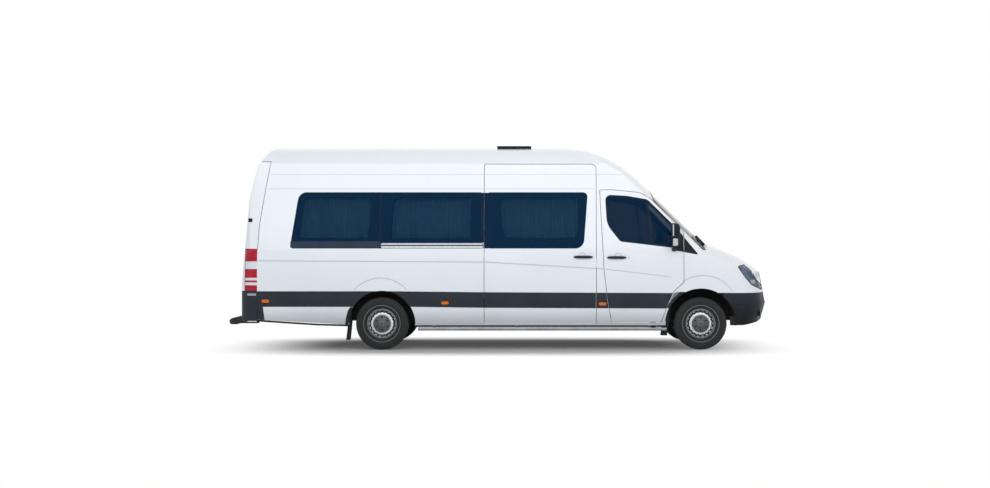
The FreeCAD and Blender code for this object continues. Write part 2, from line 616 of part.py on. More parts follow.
FLAP_OUT = HALF_WIDTH - WALL - 50
FLAP_IN = TRACK_HALF - 112
FLAPS = [
    [(REAR_AXLE - 445, 544), (REAR_AXLE - 409, 544), (REAR_AXLE - 450, 130), (REAR_AXLE - 496, 130)],
    [(FRONT_AXLE - 463, 552), (FRONT_AXLE - 409, 552), (FRONT_AXLE - 450, 192), (FRONT_AXLE - 530, 192)],
]
houses = [wheel_house(*arch) for arch in ARCHES]
for flap_points in FLAPS:
    flap = prism(flap_points, on_side, -FLAP_OUT, -FLAP_IN)
    room = prism(grow(flap_points, SEAT_GAP), on_side, -FLAP_OUT - SEAT_GAP, -FLAP_IN + SEAT_GAP)
    add("mud_flaps", *both(flap))
    houses = [house.cut(room) for house in houses]
    floor = floor.cut(room).cut(left(room))
front_wall_y = -HALF_WIDTH + ARCH_DEPTH_FRONT
rear_wall_y = -HALF_WIDTH + ARCH_DEPTH_REAR
arm_slot = box(FRONT_AXLE - 32, FRONT_AXLE + 32, front_wall_y - 5, front_wall_y + 35,
               TYRE_RADIUS + 100, TYRE_RADIUS + 150)
axle_slot = tube_y(REAR_AXLE, TYRE_RADIUS, 55, rear_wall_y - 25, rear_wall_y + 25)
behind_door = box(0, WING_REAR_X + 1, -HALF_WIDTH - 10, 0, 0, 1000).cut(TRIM_IN)
front_house = houses[0].common(BAY).common(section_solid(SKIN + SEAT_GAP)).cut(behind_door).cut(arm_slot)
houses = [front_house, houses[1].common(TRIM_IN).cut(axle_slot)]
for house in houses:
    add("wheel_houses", *both(house))
add("floor", floor)

rail_z1 = floor_low - SEAT_GAP
rail_z0 = rail_z1 - RAIL_HEIGHT
rail = box(REAR + 200, FRONT - 330, -RAIL_Y - RAIL_WIDTH / 2, -RAIL_Y + RAIL_WIDTH / 2, rail_z0, rail_z1)
members = [box(x, x + 60, -RAIL_Y, RAIL_Y, rail_z1 - 50, rail_z1)
           for x in (REAR + 220, REAR_AXLE - 900, REAR_AXLE + 800, REAR_AXLE + 1700, FRONT_AXLE - 900)]
outriggers = []
for x in (REAR + 500, REAR_AXLE + 700, REAR_AXLE + 2100, REAR_AXLE + 2800, FRONT_AXLE - 1000):
    for side in (-1, 1):
        y0, y1 = sorted((side * RAIL_Y, side * (FLOOR_HALF - 10)))
        outriggers.append(box(x, x + 60, y0, y1, rail_z1 - 50, rail_z1))
eye_end = FRONT - 205
eye = [
    box(FRONT - 400, FRONT - 330, -640, 640, rail_z0, rail_z1),
    Part.makeCylinder(26, eye_end - (FRONT - 400), Vector(FRONT - 400, EYE_Y, EYE_Z), Vector(1, 0, 0)),
]
frame = join([rail, left(rail)] + members + outriggers + eye)
frame = frame.cut(Part.makeCylinder(10, 90, Vector(eye_end - 90, EYE_Y, EYE_Z), Vector(1, 0, 0)))
TOW_HOLES_X = REAR + 290
for dx in (-50, 50):
    frame = frame.cut(tube_y(TOW_HOLES_X + dx, rail_z0 + 60, 7, -RAIL_Y - RAIL_WIDTH, RAIL_Y + RAIL_WIDTH))
add("frame_rails", frame)

# step behind the rear doors, on two brackets from the rails
STEP_LOW = 332
STEP_TOP = STEP_LOW + 83
step_points = [
    (REAR - STEP_REACH, STEP_LOW + 26, 6), (REAR - STEP_REACH + 22, STEP_LOW, 14), (REAR - 12, STEP_LOW, 8),
    (REAR - 12, STEP_TOP, 8), (REAR - STEP_REACH + 22, STEP_TOP, 14), (REAR - STEP_REACH, STEP_TOP - 27, 6),
]
step = prism(step_points, on_side, -700, 700)
brackets = [box(REAR - 30, REAR + 230, y - 25, y + 25, STEP_LOW, STEP_LOW + 19) for y in (-RAIL_Y, RAIL_Y)]
brackets += [box(REAR + 200, REAR + 230, y - 25, y + 25, STEP_LOW, rail_z0 - SEAT_GAP)
             for y in (-RAIL_Y, RAIL_Y)]
add("rear_step", join([step] + brackets))

# ---------------------------------------------------------------- running gear
TUBE_R = 22
tube_x0, tube_x1 = REAR_AXLE + 487, FRONT_AXLE - 464
tube_y_mid = -HALF_WIDTH + 60
tube = Part.makeCylinder(TUBE_R, tube_x1 - tube_x0, Vector(tube_x0, tube_y_mid, 283), Vector(1, 0, 0))
mounts = [box(x, x + 40, tube_y_mid - 15, tube_y_mid + 20, 283, SILL_Z - SEAT_GAP)
          for x in (tube_x0 + 200, 200, tube_x1 - 250)]
add("side_steps", *both(join([tube] + mounts)))


def revolved(points, axle_x, y, side):
    """Solid of (radius, distance out from the wheel's middle plane) points, turned about an axle."""
    ring = [Vector(axle_x, y + side * out, TYRE_RADIUS + radius) for radius, out in points + points[:1]]
    return Part.Face(Part.makePolygon(ring)).revolve(Vector(axle_x, y, TYRE_RADIUS), Vector(0, 1, 0), 360)


HALF_TYRE = TYRE_WIDTH / 2
TYRE_PROFILE = [
    (RIM_RADIUS + SEAT_GAP, -88), (RIM_RADIUS + 12, -100), (RIM_RADIUS + 60, -HALF_TYRE),
    (TYRE_RADIUS - 50, -HALF_TYRE + 3), (TYRE_RADIUS - 14, -92), (TYRE_RADIUS - 2, -70), (TYRE_RADIUS, -40),
    (TYRE_RADIUS, 40), (TYRE_RADIUS - 2, 70), (TYRE_RADIUS - 14, 92), (TYRE_RADIUS - 50, HALF_TYRE - 3),
    (RIM_RADIUS + 60, HALF_TYRE), (RIM_RADIUS + 12, 100), (RIM_RADIUS + SEAT_GAP, 88),
]
BORE = 31
RIM_PROFILE = [
    (RIM_RADIUS, -RIM_WIDTH / 2 + 8), (RIM_RADIUS, RIM_WIDTH / 2 - 8), (RIM_RADIUS - 12, RIM_WIDTH / 2 - 2),
    (RIM_RADIUS - 14, 60), (RIM_RADIUS - 20, HUB_FACE + 12), (135, HUB_FACE + 22), (122, HUB_FACE + 40),
    (60, HUB_FACE + 44), (48, HUB_FACE + 52), (0, HUB_FACE + 54), (0, HUB_FACE + 10), (BORE, HUB_FACE + 10),
    (BORE, -20), (58, -20), (58, HUB_FACE), (120, HUB_FACE + 6), (RIM_RADIUS - 22, HUB_FACE),
    (RIM_RADIUS - 12, HUB_FACE - 12), (RIM_RADIUS - 12, -RIM_WIDTH / 2 + 8),
]
for end, axle_x in (("front", FRONT_AXLE), ("rear", REAR_AXLE)):
    for side, hand in ((-1, "right"), (1, "left")):
        add(f"tyre_{end}_{hand}", revolved(TYRE_PROFILE, axle_x, side * TRACK_HALF, side))
        rim = revolved(RIM_PROFILE, axle_x, side * TRACK_HALF, side)
        for k in range(18):
            turn = math.radians(20 * k)
            hole = tube_y(axle_x + 158 * math.cos(turn), TYRE_RADIUS + 158 * math.sin(turn), 14, -150, 150)
            hole.translate(Vector(0, side * (TRACK_HALF + HUB_FACE), 0))
            rim = rim.cut(hole)
        add(f"rim_{end}_{hand}", rim)

# front knuckles: an upright post on the steering axis, and a stub axle into the wheel's hub
PIN_Z = 118                 # ball joints, above and below the wheel's centre
DISC_RADIUS = 142
post = Part.makeCylinder(17, 2 * PIN_Z - 2 * 12, Vector(FRONT_AXLE, -KINGPIN_Y, TYRE_RADIUS - PIN_Z + 12))
stub = tube_y(FRONT_AXLE, TYRE_RADIUS, BORE - 1, -TRACK_HALF - HUB_FACE, -KINGPIN_Y)
hub = tube_y(FRONT_AXLE, TYRE_RADIUS, 55, -KINGPIN_Y - 25, -KINGPIN_Y + 15)
disc = tube_y(FRONT_AXLE, TYRE_RADIUS, DISC_RADIUS, -TRACK_HALF + 26, -TRACK_HALF + 48)
knuckle = join([post, stub, hub, disc])
add("knuckle_right", knuckle)
add("knuckle_left", left(knuckle))
rail_side_y = -RAIL_Y - RAIL_WIDTH / 2 - SEAT_GAP
ARM_EYE = 18                # rounded end of each arm, about the steering axis


def suspension_arm(inner_y, z):
    """Flat arm from the steering axis in to inner_y."""
    height = 24 - SEAT_GAP
    eye_end = Part.makeCylinder(ARM_EYE, height, Vector(FRONT_AXLE, -KINGPIN_Y, z))
    return join([box(FRONT_AXLE - 17, FRONT_AXLE + 17, -KINGPIN_Y, inner_y, z, z + height), eye_end])


low_arm_z = TYRE_RADIUS - PIN_Z - 12
top_arm_z = TYRE_RADIUS + PIN_Z - 12 + SEAT_GAP
low_arm = suspension_arm(-300, low_arm_z)
rail_bracket = box(FRONT_AXLE - 17, FRONT_AXLE + 17, rail_side_y - 24, rail_side_y, top_arm_z, rail_z0 + 70)
top_arm = join([suspension_arm(rail_side_y, top_arm_z), rail_bracket])
beam_half = RAIL_Y + RAIL_WIDTH / 2 - 10
beam_z1 = low_arm_z + 74
carrier = join([
    low_arm, left(low_arm),
    box(FRONT_AXLE - 60, FRONT_AXLE + 60, -beam_half, beam_half, low_arm_z, beam_z1),
    box(FRONT_AXLE - 60, FRONT_AXLE + 60, -beam_half, -beam_half + 60, low_arm_z, rail_z0 - SEAT_GAP),
    box(FRONT_AXLE - 60, FRONT_AXLE + 60, beam_half - 60, beam_half, low_arm_z, rail_z0 - SEAT_GAP),
])
add("front_subframe", *both(top_arm))
add("front_subframe", carrier)
axle = join([
    tube_y(REAR_AXLE, TYRE_RADIUS, 42, -TRACK_HALF + 60, TRACK_HALF - 60),
    tube_y(REAR_AXLE, TYRE_RADIUS, BORE - 1, -TRACK_HALF - HUB_FACE, TRACK_HALF + HUB_FACE),
    tube_y(REAR_AXLE, TYRE_RADIUS, 140, -90, 90),
    tube_y(REAR_AXLE, TYRE_RADIUS, DISC_RADIUS, -TRACK_HALF + 26, -TRACK_HALF + 48),
    tube_y(REAR_AXLE, TYRE_RADIUS, DISC_RADIUS, TRACK_HALF - 48, TRACK_HALF - 26),
])
add("rear_axle", axle)
spring_z = TYRE_RADIUS + 42 + SEAT_GAP
leaf = box(REAR_AXLE - 800, REAR_AXLE + 700, -RAIL_Y - 35, -RAIL_Y + 35, spring_z, spring_z + 26)
shackles = [box(x, x + 50, -RAIL_Y - 30, -RAIL_Y + 30, spring_z, rail_z0 - SEAT_GAP)
            for x in (REAR_AXLE - 800, REAR_AXLE + 650)]
add("leaf_springs", *both(join([leaf] + shackles)))

engine = join([
    box(FRONT_AXLE - 70, FRONT_AXLE + 520, -270, 270, 420, 1120),
    box(FRONT_AXLE - 800, FRONT_AXLE - 70, -150, 150, 330, 510),
])
add("engine", engine)
shaft_x0 = REAR_AXLE + 140 + SEAT_GAP
shaft_x1 = FRONT_AXLE - 800 - SEAT_GAP
shaft = Part.makeCylinder(34, shaft_x1 - shaft_x0, Vector(shaft_x0, 0, TYRE_RADIUS + 44), Vector(1, 0, 0))
add("prop_shaft", shaft)
tank = box(REAR_AXLE + 1900, REAR_AXLE + 3000, 500, 830, 330, rail_z1 - 50 - SEAT_GAP)
tank = tank.makeFillet(25, tank.Edges)
add("fuel_tank", tank)
pipe_z = rail_z1 - 50 - 30 - SEAT_GAP
pipe = join([
    Part.makeCylinder(30, 4300, Vector(REAR + 330, -250, pipe_z), Vector(1, 0, 0)),
    Part.makeCylinder(75, 700, Vector(REAR_AXLE + 1500, -250, pipe_z - 52), Vector(1, 0, 0)),
])
add("exhaust", pipe)

# ---------------------------------------------------------------- cab and cabin
dash_points = from_axle([(-520, 1010, 30), (-520, 1270, 60), (-330, 1370, 90), (-160, 1325), (-160, 900)])
dash = prism(dash_points, on_side, -FLOOR_HALF + 60, FLOOR_HALF - 60)
dash = join([dash, box(FRONT_AXLE - 420, FRONT_AXLE - 165, -120, 120, FLOOR_Z + SEAT_GAP, 1100)])
add("dashboard", dash)
WHEEL_X = FRONT_AXLE - 640
WHEEL_Z = 1290
SEAT_Y = 455
ring = Part.makeTorus(185, 14)
boss = Part.makeCylinder(60, 30, Vector(0, 0, -20))
spokes = [box(-185, 185, -18, 18, -12, 4), box(-18, 18, -185, 0, -12, 4)]
column = Part.makeCylinder(28, 330, Vector(0, 0, -340))
wheel = join([ring, boss] + spokes + [column])
wheel.rotate(Vector(0, 0, 0), Vector(0, 0, 1), -90)
wheel.rotate(Vector(0, 0, 0), Vector(0, 1, 0), -42)
wheel.translate(Vector(WHEEL_X, SEAT_Y, WHEEL_Z))
wheel = wheel.cut(dash)
add("steering_wheel", max(wheel.Solids, key=lambda w: w.Volume))


def seat(x, y, width, low, cushion_z, back_z, base_y, base_width):
    """Seat facing forward: foot of the backrest at x, standing at low; cushion and backrest as one pad."""
    pad = prism([
        (x - 20, cushion_z - 110, 40), (x + 470, cushion_z - 90, 45), (x + 490, cushion_z + 10, 40),
        (x + 110, cushion_z - 10, 30), (x + 20, back_z - 40, 60), (x - 90, back_z, 45),
        (x - 100, back_z - 90, 60),
    ], on_side, y - width / 2, y + width / 2)
    base = box(x + 20, x + 400, base_y - base_width / 2, base_y + base_width / 2, low, cushion_z - 105)
    return join([pad, base])


seat_floor = FLOOR_Z + SEAT_GAP
for y in (-SEAT_Y, SEAT_Y):
    add("front_seats", seat(FRONT_AXLE - 1230, y, 480, seat_floor, 1050, 1800, y, 380))
SEAT_PITCH = 790
for row in range(4):
    x = REAR_AXLE - 1500 + SEAT_PITCH * row
    for y in (-620, 210, 620) if row else (-620, -205, 205, 620):
        base_y = math.copysign(min(abs(y), 560), y)
        add("passenger_seats", seat(x, y, 400, seat_floor, 1060, 1750, base_y, 130))


def inner_wall(z):
    """Half width between the side walls' inner faces, above the belt."""
    lean = (EAVE_TUCK - BELT_TUCK) / (EAVE_Z - WALL * 0.4 - BELT_Z)
    return HALF_WIDTH - BELT_TUCK - WALL - (z - BELT_Z) * lean


CURTAIN_LOW = 1490
CURTAIN_TOP = WINDOW_TOP - 18
for x0, x1 in ((REAR_AXLE - 1130, REAR_AXLE - 40), (REAR_AXLE + 10, REAR_AXLE + 1345),
               (REAR_AXLE + 1450, REAR_AXLE + 2720)):
    low_y, top_y = -inner_wall(CURTAIN_LOW) + 20, -inner_wall(CURTAIN_TOP) + 20
    points = [(low_y, CURTAIN_LOW), (low_y + 8, CURTAIN_LOW), (top_y + 8, CURTAIN_TOP), (top_y, CURTAIN_TOP)]
    add("curtains", *both(prism(points, on_front, x0, x1)))
    z0 = CURTAIN_TOP + SEAT_GAP
    points = [(-inner_wall(z0) + SEAT_GAP, z0), (-inner_wall(z0) + 36, z0), (-inner_wall(z0) + 36, z0 + 22),
              (-inner_wall(z0 + 22) + SEAT_GAP, z0 + 22)]
    add("curtain_rails", *both(prism(points, on_front, x0 + 5, x1 - 5)))

# ---------------------------------------------------------------- mirrors
glass_x = FRONT_AXLE - 415
side_y = -HALF_WIDTH
head = prism([(side_y - 218, 1400, 40), (side_y - 35, 1383, 30), (side_y - 25, 1715, 40),
              (side_y - 210, 1721, 50)], on_front, glass_x, glass_x + 115)
arm = box(glass_x + 20, glass_x + 80, side_y - 65, side_y + 35, 1335, 1400)
mirror = join([head, arm]).cut(SKIN_OUT)
add("mirror_right", mirror)
add("mirror_left", left(mirror))

# ---------------------------------------------------------------- files
os.makedirs(PARTS, exist_ok=True)
for name, solids in parts.items():
    shape = solids[0] if len(solids) == 1 else Part.makeCompound(solids)
    shape.exportStep(f"{PARTS}/{name}.step")
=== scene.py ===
import math
import random

import bmesh
import bpy
from mathutils import Matrix, Vector
from mathutils.bvhtree import BVHTree


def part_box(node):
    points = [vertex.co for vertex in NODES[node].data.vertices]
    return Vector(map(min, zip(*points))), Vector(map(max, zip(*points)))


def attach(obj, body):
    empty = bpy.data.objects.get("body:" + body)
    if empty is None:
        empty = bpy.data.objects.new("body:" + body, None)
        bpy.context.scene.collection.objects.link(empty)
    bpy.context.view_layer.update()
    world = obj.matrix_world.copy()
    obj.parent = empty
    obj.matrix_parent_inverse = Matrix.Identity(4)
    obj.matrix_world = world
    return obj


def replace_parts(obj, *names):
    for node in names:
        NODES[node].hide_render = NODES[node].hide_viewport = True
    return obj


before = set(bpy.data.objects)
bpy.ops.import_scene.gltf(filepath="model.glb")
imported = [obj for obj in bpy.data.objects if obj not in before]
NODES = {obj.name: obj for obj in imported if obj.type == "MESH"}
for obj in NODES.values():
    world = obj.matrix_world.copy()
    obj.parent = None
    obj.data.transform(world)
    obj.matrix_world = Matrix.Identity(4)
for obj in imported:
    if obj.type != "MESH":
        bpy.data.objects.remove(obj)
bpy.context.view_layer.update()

SIDES = {"right": -1, "left": 1}
FRONT_AXLE_X = sum(c.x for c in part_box("tyre_front_right")) / 2
REAR_AXLE_X = sum(c.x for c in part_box("tyre_rear_right")) / 2
TYRE_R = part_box("tyre_front_right")[1].z / 2
WELD = 1e-5  # points nearer than this are one


# ------------------------------------------------------------------ materials
class Finish:
    """A material being built: its nodes, and the shader that they feed."""

    def __init__(self, name, **numbers):
        self.material = bpy.data.materials.new(name)
        self.material.use_nodes = True
        self.tree = self.material.node_tree
        self.shader = self.tree.nodes["Principled BSDF"]
        self.place = self.node("TexCoord").outputs["Object"]
        for socket, value in numbers.items():
            self.shader.inputs[socket.replace("_", " ")].default_value = value

    def node(self, kind, wires=(), **settings):
        made = self.tree.nodes.new("ShaderNode" + kind)
        for key, value in settings.items():
            setattr(made, key, value)
        for socket, value in dict(wires).items():
            self.feed(made.inputs[socket], value)
        return made

    def feed(self, socket, value):
        if isinstance(value, bpy.types.NodeSocket):
            self.tree.links.new(value, socket)
        elif hasattr(value, "__len__") and len(value) == 3 and socket.type == "RGBA":
            socket.default_value = (*value, 1)
        else:
            socket.default_value = value

    def sums(self, kind, a, b=0.0, c=0.0):
        """The result of a sum of that kind on one to three values."""
        wires = {0: a, 1: b}
        if kind in ("MULTIPLY_ADD", "SMOOTH_MIN", "SMOOTH_MAX"):
            wires[2] = c
        return self.node("Math", wires, operation=kind).outputs[0]

    def times(self, a, b):
        return self.sums("MULTIPLY", a, b)

    def plus(self, a, b):
        return self.sums("ADD", a, b)

    def minus(self, a, b):
        return self.sums("SUBTRACT", a, b)

    def most(self, a, b):
        return self.sums("MAXIMUM", a, b)

    def ramp(self, value, low, high, to_low=0.0, to_high=1.0, smooth=True):
        """A value between low and high brought to between to_low and to_high."""
        made = self.node("MapRange", {"Value": value, "From Min": low, "From Max": high})
        made.interpolation_type = "SMOOTHSTEP" if smooth else "LINEAR"
        made.inputs["To Min"].default_value = to_low
        made.inputs["To Max"].default_value = to_high
        return made.outputs["Result"]

    def band(self, value, rise, fall):
        """1 between two soft edges, each given by where it starts and ends."""
        return self.times(self.ramp(value, *rise), self.ramp(value, *fall, 1.0, 0.0))

    def length(self, a, b):
        """The length of the line with sides a and b."""
        squares = [self.times(value, value) for value in (a, b)]
        return self.sums("SQRT", self.plus(*squares))

    def from_axles(self, x, z):
        """For each axle, how far a point of a wheel stands ahead of it and above it."""
        for axle_x in (FRONT_AXLE_X, REAR_AXLE_X):
            yield self.minus(x, axle_x), self.minus(z, TYRE_R)

    def mix(self, share, a, b):
        made = self.node("Mix", data_type="RGBA")
        for index, value in ((0, share), (6, a), (7, b)):
            self.feed(made.inputs[index], value)
        return made.outputs[2]

    def noise(self, scale, detail, stretch=None):
        """Cloudy noise, drawn out along the axes by stretch."""
        place = self.place
        if stretch:
            place = self.node("Mapping", {"Vector": place, "Scale": stretch}).outputs[0]
        wires = {"Scale": scale, "Detail": detail, "Roughness": 0.55, "Vector": place}
        return self.node("TexNoise", wires).outputs["Fac"]

    def axes(self, source=None):
        """The three parts of a vector: of the place in the shared frame, if none is given."""
        return self.node("SeparateXYZ", {0: source or self.place}).outputs

    def bump(self, height, depth, strength=1.0):
        made = self.node("Bump", {"Height": height, "Distance": depth, "Strength": strength})
        self.feed(self.shader.inputs["Normal"], made.outputs[0])

    def colour(self, value):
        self.feed(self.shader.inputs["Base Color"], value)

    def rough(self, value):
        self.feed(self.shader.inputs["Roughness"], value)


def mottled(name, dark, light, rough, scale, grain, depth, **numbers):
    """A finish whose colour and gloss drift slowly, over a fine grain."""
    made = Finish(name, **numbers)
    drift = made.noise(scale, 5.0)
    fine = made.noise(grain, 2.0)
    share = made.ramp(drift, 0.3, 0.7)
    made.colour(made.mix(made.sums("MULTIPLY_ADD", fine, 0.25, made.times(share, 0.75)), dark, light))
    made.rough(made.ramp(drift, 0.25, 0.75, *rough))
    made.bump(fine, depth)
    return made.material


def body_paint():
    """White enamel outside, painted shade low down, and grey trim on whatever faces inwards."""
    made = Finish("body_paint", Coat_Weight=0.5, Coat_Roughness=0.06, Specular_IOR_Level=0.4)
    drift = made.noise(1.3, 4.0)
    peel = made.noise(260.0, 2.0)
    x, y, z = made.axes()[:3]
    white = made.mix(made.ramp(drift, 0.3, 0.7), (0.77, 0.815, 0.87), (0.80, 0.84, 0.885))
    # painted shade: the enamel darkens towards the bottom of the side, where it tucks under
    low = made.ramp(made.sums("MULTIPLY_ADD", drift, 0.06, z), 0.36, 0.64, 0.85, 0.0)
    white = made.mix(low, white, (0.40, 0.42, 0.46))
    away = made.node("CombineXYZ", {0: made.times(x, 0.15), 1: y,
                                    2: made.minus(z, 1.5)}).outputs[0]
    away = made.node("VectorMath", {0: away}, operation="NORMALIZE").outputs[0]
    facing = made.node("VectorMath", {0: made.node("TexCoord").outputs["Normal"], 1: away},
                       operation="DOT_PRODUCT").outputs["Value"]
    inside = made.ramp(facing, -0.42, -0.34, 1.0, 0.0)
    cloth = made.noise(900.0, 2.0)
    trim = made.mix(cloth, (0.24, 0.25, 0.27), (0.33, 0.34, 0.36))
    made.colour(made.mix(inside, white, trim))
    made.rough(made.sums("MULTIPLY_ADD", inside, 0.6, made.ramp(drift, 0.3, 0.7, 0.2, 0.27)))
    made.bump(made.sums("MULTIPLY_ADD", inside, made.times(cloth, 8.0), peel), 0.00004)
    return made.material


def side_glass(name, zones, seen):
    """Dark blue glass, printed solid round the edges and clear enough to see into inside each zone."""
    made = Finish(name, Roughness=0.03, Specular_IOR_Level=0.02, IOR=1.45)
    x, _, z = made.axes()[:3]
    clear = 0.0
    for x0, x1, z0, z1, soft, lean0, lean1 in zones:
        up = made.minus(z, (z0 + z1) / 2)
        middle = made.sums("MULTIPLY_ADD", up, (lean0 + lean1) / 2, (x0 + x1) / 2)
        reach = made.sums("MULTIPLY_ADD", up, (lean1 - lean0) / 2, (x1 - x0) / 2 - soft)
        gaps = []
        for value, half in ((made.minus(x, middle), reach), (up, (z1 - z0) / 2 - soft)):
            out = made.most(made.minus(made.sums("ABSOLUTE", value), half), 0.0)
            gaps.append(made.times(out, out))
        far = made.sums("SQRT", made.plus(gaps[0], gaps[1]))
        clear = made.most(clear, made.ramp(far, soft - 0.005, soft + 0.005, 1.0, 0.0))
    drift = made.noise(2.0, 3.0)
    made.colour(made.mix(drift, (0.0008, 0.0175, 0.050), (0.0016, 0.022, 0.059)))
    made.feed(made.shader.inputs["Alpha"], made.ramp(clear, 0.0, 1.0, 0.985, seen, smooth=False))
    made.bump(made.noise(3.0, 1.0), 0.0004, 0.4)
    return made.material


def lens_bands():
    """Tail lamp: red and clear bands across it, with fine upright ribs behind a gloss face."""
    made = Finish("tail_lamp_lens", Coat_Weight=0.15, Coat_Roughness=0.03, Specular_IOR_Level=0.15)
    x, y, z = made.axes()[:3]
    top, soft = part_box("tail_lights")[1].z, 0.002
    pale = 0.0
    for start, end in ((0.165, 0.266), (0.386, 0.421), (0.447, 0.486)):
        inside = made.band(z, (top - end - soft, top - end + soft), (top - start - soft, top - start + soft))
        pale = made.most(pale, inside)
    around = made.sums("ARCTAN2", y, made.plus(x, 3.0))
    rib = made.ramp(made.sums("SINE", made.times(around, 620.0)), -1.0, 1.0)
    glow = made.noise(9.0, 2.0, stretch=(1.0, 1.0, 3.0))
    red = made.mix(made.sums("MULTIPLY_ADD", rib, 0.35, made.ramp(glow, 0.3, 0.7, 0.0, 0.65)),
                   (0.24, 0.002, 0.010), (0.62, 0.014, 0.038))
    white = made.mix(rib, (0.55, 0.62, 0.70), (0.86, 0.90, 0.94))
    made.colour(made.mix(pale, red, white))
    made.rough(made.ramp(glow, 0.3, 0.7, 0.08, 0.2))
    made.bump(rib, 0.0006, 0.5)
    return made.material


def rim_steel():
    """Silver wheel steel, with a painted highlight on the shoulder round the cap and painted shade where the disc dips.
    """
    made = Finish("wheel_steel", Metallic=0.05, Coat_Weight=0.2, Coat_Roughness=0.2)
    x, _, z = made.axes()[:3]
    radius = made.sums("MINIMUM", *[made.length(dx, dz) for dx, dz in made.from_axles(x, z)])
    # painted highlight: a near-white ring on the shoulder round the cap
    ring = made.band(radius, (0.114, 0.120), (0.144, 0.152))
    # painted shade: outside this mid-grey band the steel is dark, where the disc dips towards the rim
    disc = made.band(radius, (0.138, 0.146), (0.166, 0.190))
    grit = made.noise(120.0, 4.0)
    tone = made.mix(disc, (0.20, 0.215, 0.225), (0.50, 0.53, 0.56))
    tone = made.mix(ring, tone, (0.95, 0.98, 1.0))
    made.colour(made.mix(made.ramp(grit, 0.5, 0.8, 0.0, 0.2), tone, (0.05, 0.045, 0.04)))
    made.rough(made.ramp(grit, 0.3, 0.7, 0.32, 0.5))
    made.bump(grit, 0.0003)
    return made.material


def tyre_rubber():
    """Rubber with fine radial sidewall marks, a paler scuffed tone towards the tread's shoulder, and a painted
    highlight on the sidewall rib.
    """
    made = Finish("tyre_rubber", Specular_IOR_Level=0.25)
    x, _, z = made.axes()[:3]
    rays, distances = [], []
    for dx, dz in made.from_axles(x, z):
        rays.append(made.sums("ARCTAN2", dz, dx))
        distances.append(made.length(dx, dz))
    near_front = made.sums("GREATER_THAN", x, (FRONT_AXLE_X + REAR_AXLE_X) / 2)
    ray = made.plus(made.times(rays[0], near_front),
                    made.times(rays[1], made.minus(1.0, near_front)))
    radius = made.sums("MINIMUM", *distances)
    marks = made.ramp(made.sums("SINE", made.times(ray, 150.0)), -1.0, 1.0)
    shoulder = made.ramp(radius, 0.80 * TYRE_R, 0.97 * TYRE_R)
    dust = made.noise(26.0, 4.0)
    tone = made.mix(made.times(shoulder, marks), (0.016, 0.018, 0.019), (0.040, 0.043, 0.044))
    tone = made.mix(made.ramp(dust, 0.45, 0.8, 0.0, 0.5), tone, (0.055, 0.055, 0.052))
    # painted highlight: the raised rib on the sidewall is coloured pale grey as if catching the light
    rib = made.band(radius, (0.2435, 0.2455), (0.2505, 0.2525))
    made.colour(made.mix(rib, tone, (0.22, 0.225, 0.23)))
    made.rough(made.ramp(dust, 0.3, 0.7, 0.62, 0.85))
    made.bump(made.times(marks, shoulder), 0.0008, 0.7)
    return made.material


def woven(name, dark, light, pitch, sheen):
    """Cloth: two crossed sets of threads over a slow drift of tone."""
    made = Finish(name, Roughness=0.9, Sheen_Weight=sheen, Sheen_Roughness=0.5, Specular_IOR_Level=0.2)
    x, y, z = made.axes()[:3]
    across = made.sums("SINE", made.times(made.plus(x, y), pitch))
    along = made.sums("SINE", made.times(made.plus(z, made.times(y, 0.5)), pitch))
    weave = made.ramp(made.times(across, along), -1.0, 1.0)
    fluff = made.noise(35.0, 5.0)
    made.colour(made.mix(made.sums("MULTIPLY_ADD", weave, 0.5, made.ramp(fluff, 0.3, 0.7, 0.0, 0.5)), dark, light))
    made.bump(weave, 0.0004)
    return made.material


def trimmed_floor():
    """Speckled vinyl on top and black undercoat below."""
    made = Finish("cabin_floor", Specular_IOR_Level=0.3)
    up = made.ramp(made.axes(made.node("TexCoord").outputs["Normal"])[2], 0.2, 0.6)
    fleck = made.node("TexVoronoi", {"Vector": made.place, "Scale": 190.0}).outputs["Color"]
    fleck = made.ramp(made.axes(fleck)[0], 0.75, 0.8)
    vinyl = made.mix(made.times(fleck, 0.6), (0.045, 0.05, 0.06), (0.20, 0.21, 0.23))
    coat = made.mix(made.noise(14.0, 5.0), (0.012, 0.012, 0.013), (0.045, 0.042, 0.04))
    made.colour(made.mix(up, coat, vinyl))
    made.rough(made.ramp(up, 0.0, 1.0, 0.85, 0.5))
    made.bump(made.noise(300.0, 2.0), 0.0005)
    return made.material


def steel_bright(name, tone=(0.55, 0.57, 0.60), rough=(0.18, 0.34)):
    """Polished steel with fine draw marks along its length."""
    made = Finish(name, Metallic=1.0)
    drawn = made.noise(60.0, 4.0, stretch=(0.6, 14.0, 14.0))
    made.colour(made.mix(drawn, tuple(c * 0.8 for c in tone), tone))
    made.rough(made.ramp(drawn, 0.3, 0.7, *rough))
    made.bump(drawn, 0.00015)
    return made.material


def tinted(name, colour, alpha, rough=0.03, ripple=0.0006):
    """Thin clear moulding: a coloured gloss skin with faint streaks, which shows what lies behind it."""
    made = Finish(name, IOR=1.45, Specular_IOR_Level=0.3, Alpha=alpha)
    streak = made.noise(18.0, 2.0, stretch=(8.0, 8.0, 0.6))
    made.colour(made.mix(streak, colour, tuple(min(1.0, c * 1.4) for c in colour)))
    made.rough(made.ramp(streak, 0.3, 0.7, rough, rough + 0.05))
    made.bump(streak, ripple, 0.5)
    return made.material


def crease_enamel():
    """Painted shade along a pressed line: darker enamel, deeper low on the side and fainter towards the roof."""
    made = Finish("crease_enamel", Coat_Weight=0.3, Coat_Roughness=0.1)
    drift = made.noise(2.0, 3.0)
    tone = made.mix(made.ramp(made.axes()[2], 1.25, 2.2), (0.47, 0.51, 0.57), (0.60, 0.65, 0.71))
    made.colour(made.mix(made.times(drift, 0.25), tone, (0.72, 0.77, 0.83)))
    made.rough(made.ramp(drift, 0.3, 0.7, 0.3, 0.42))
    made.bump(made.noise(260.0, 2.0), 0.00004)
    return made.material


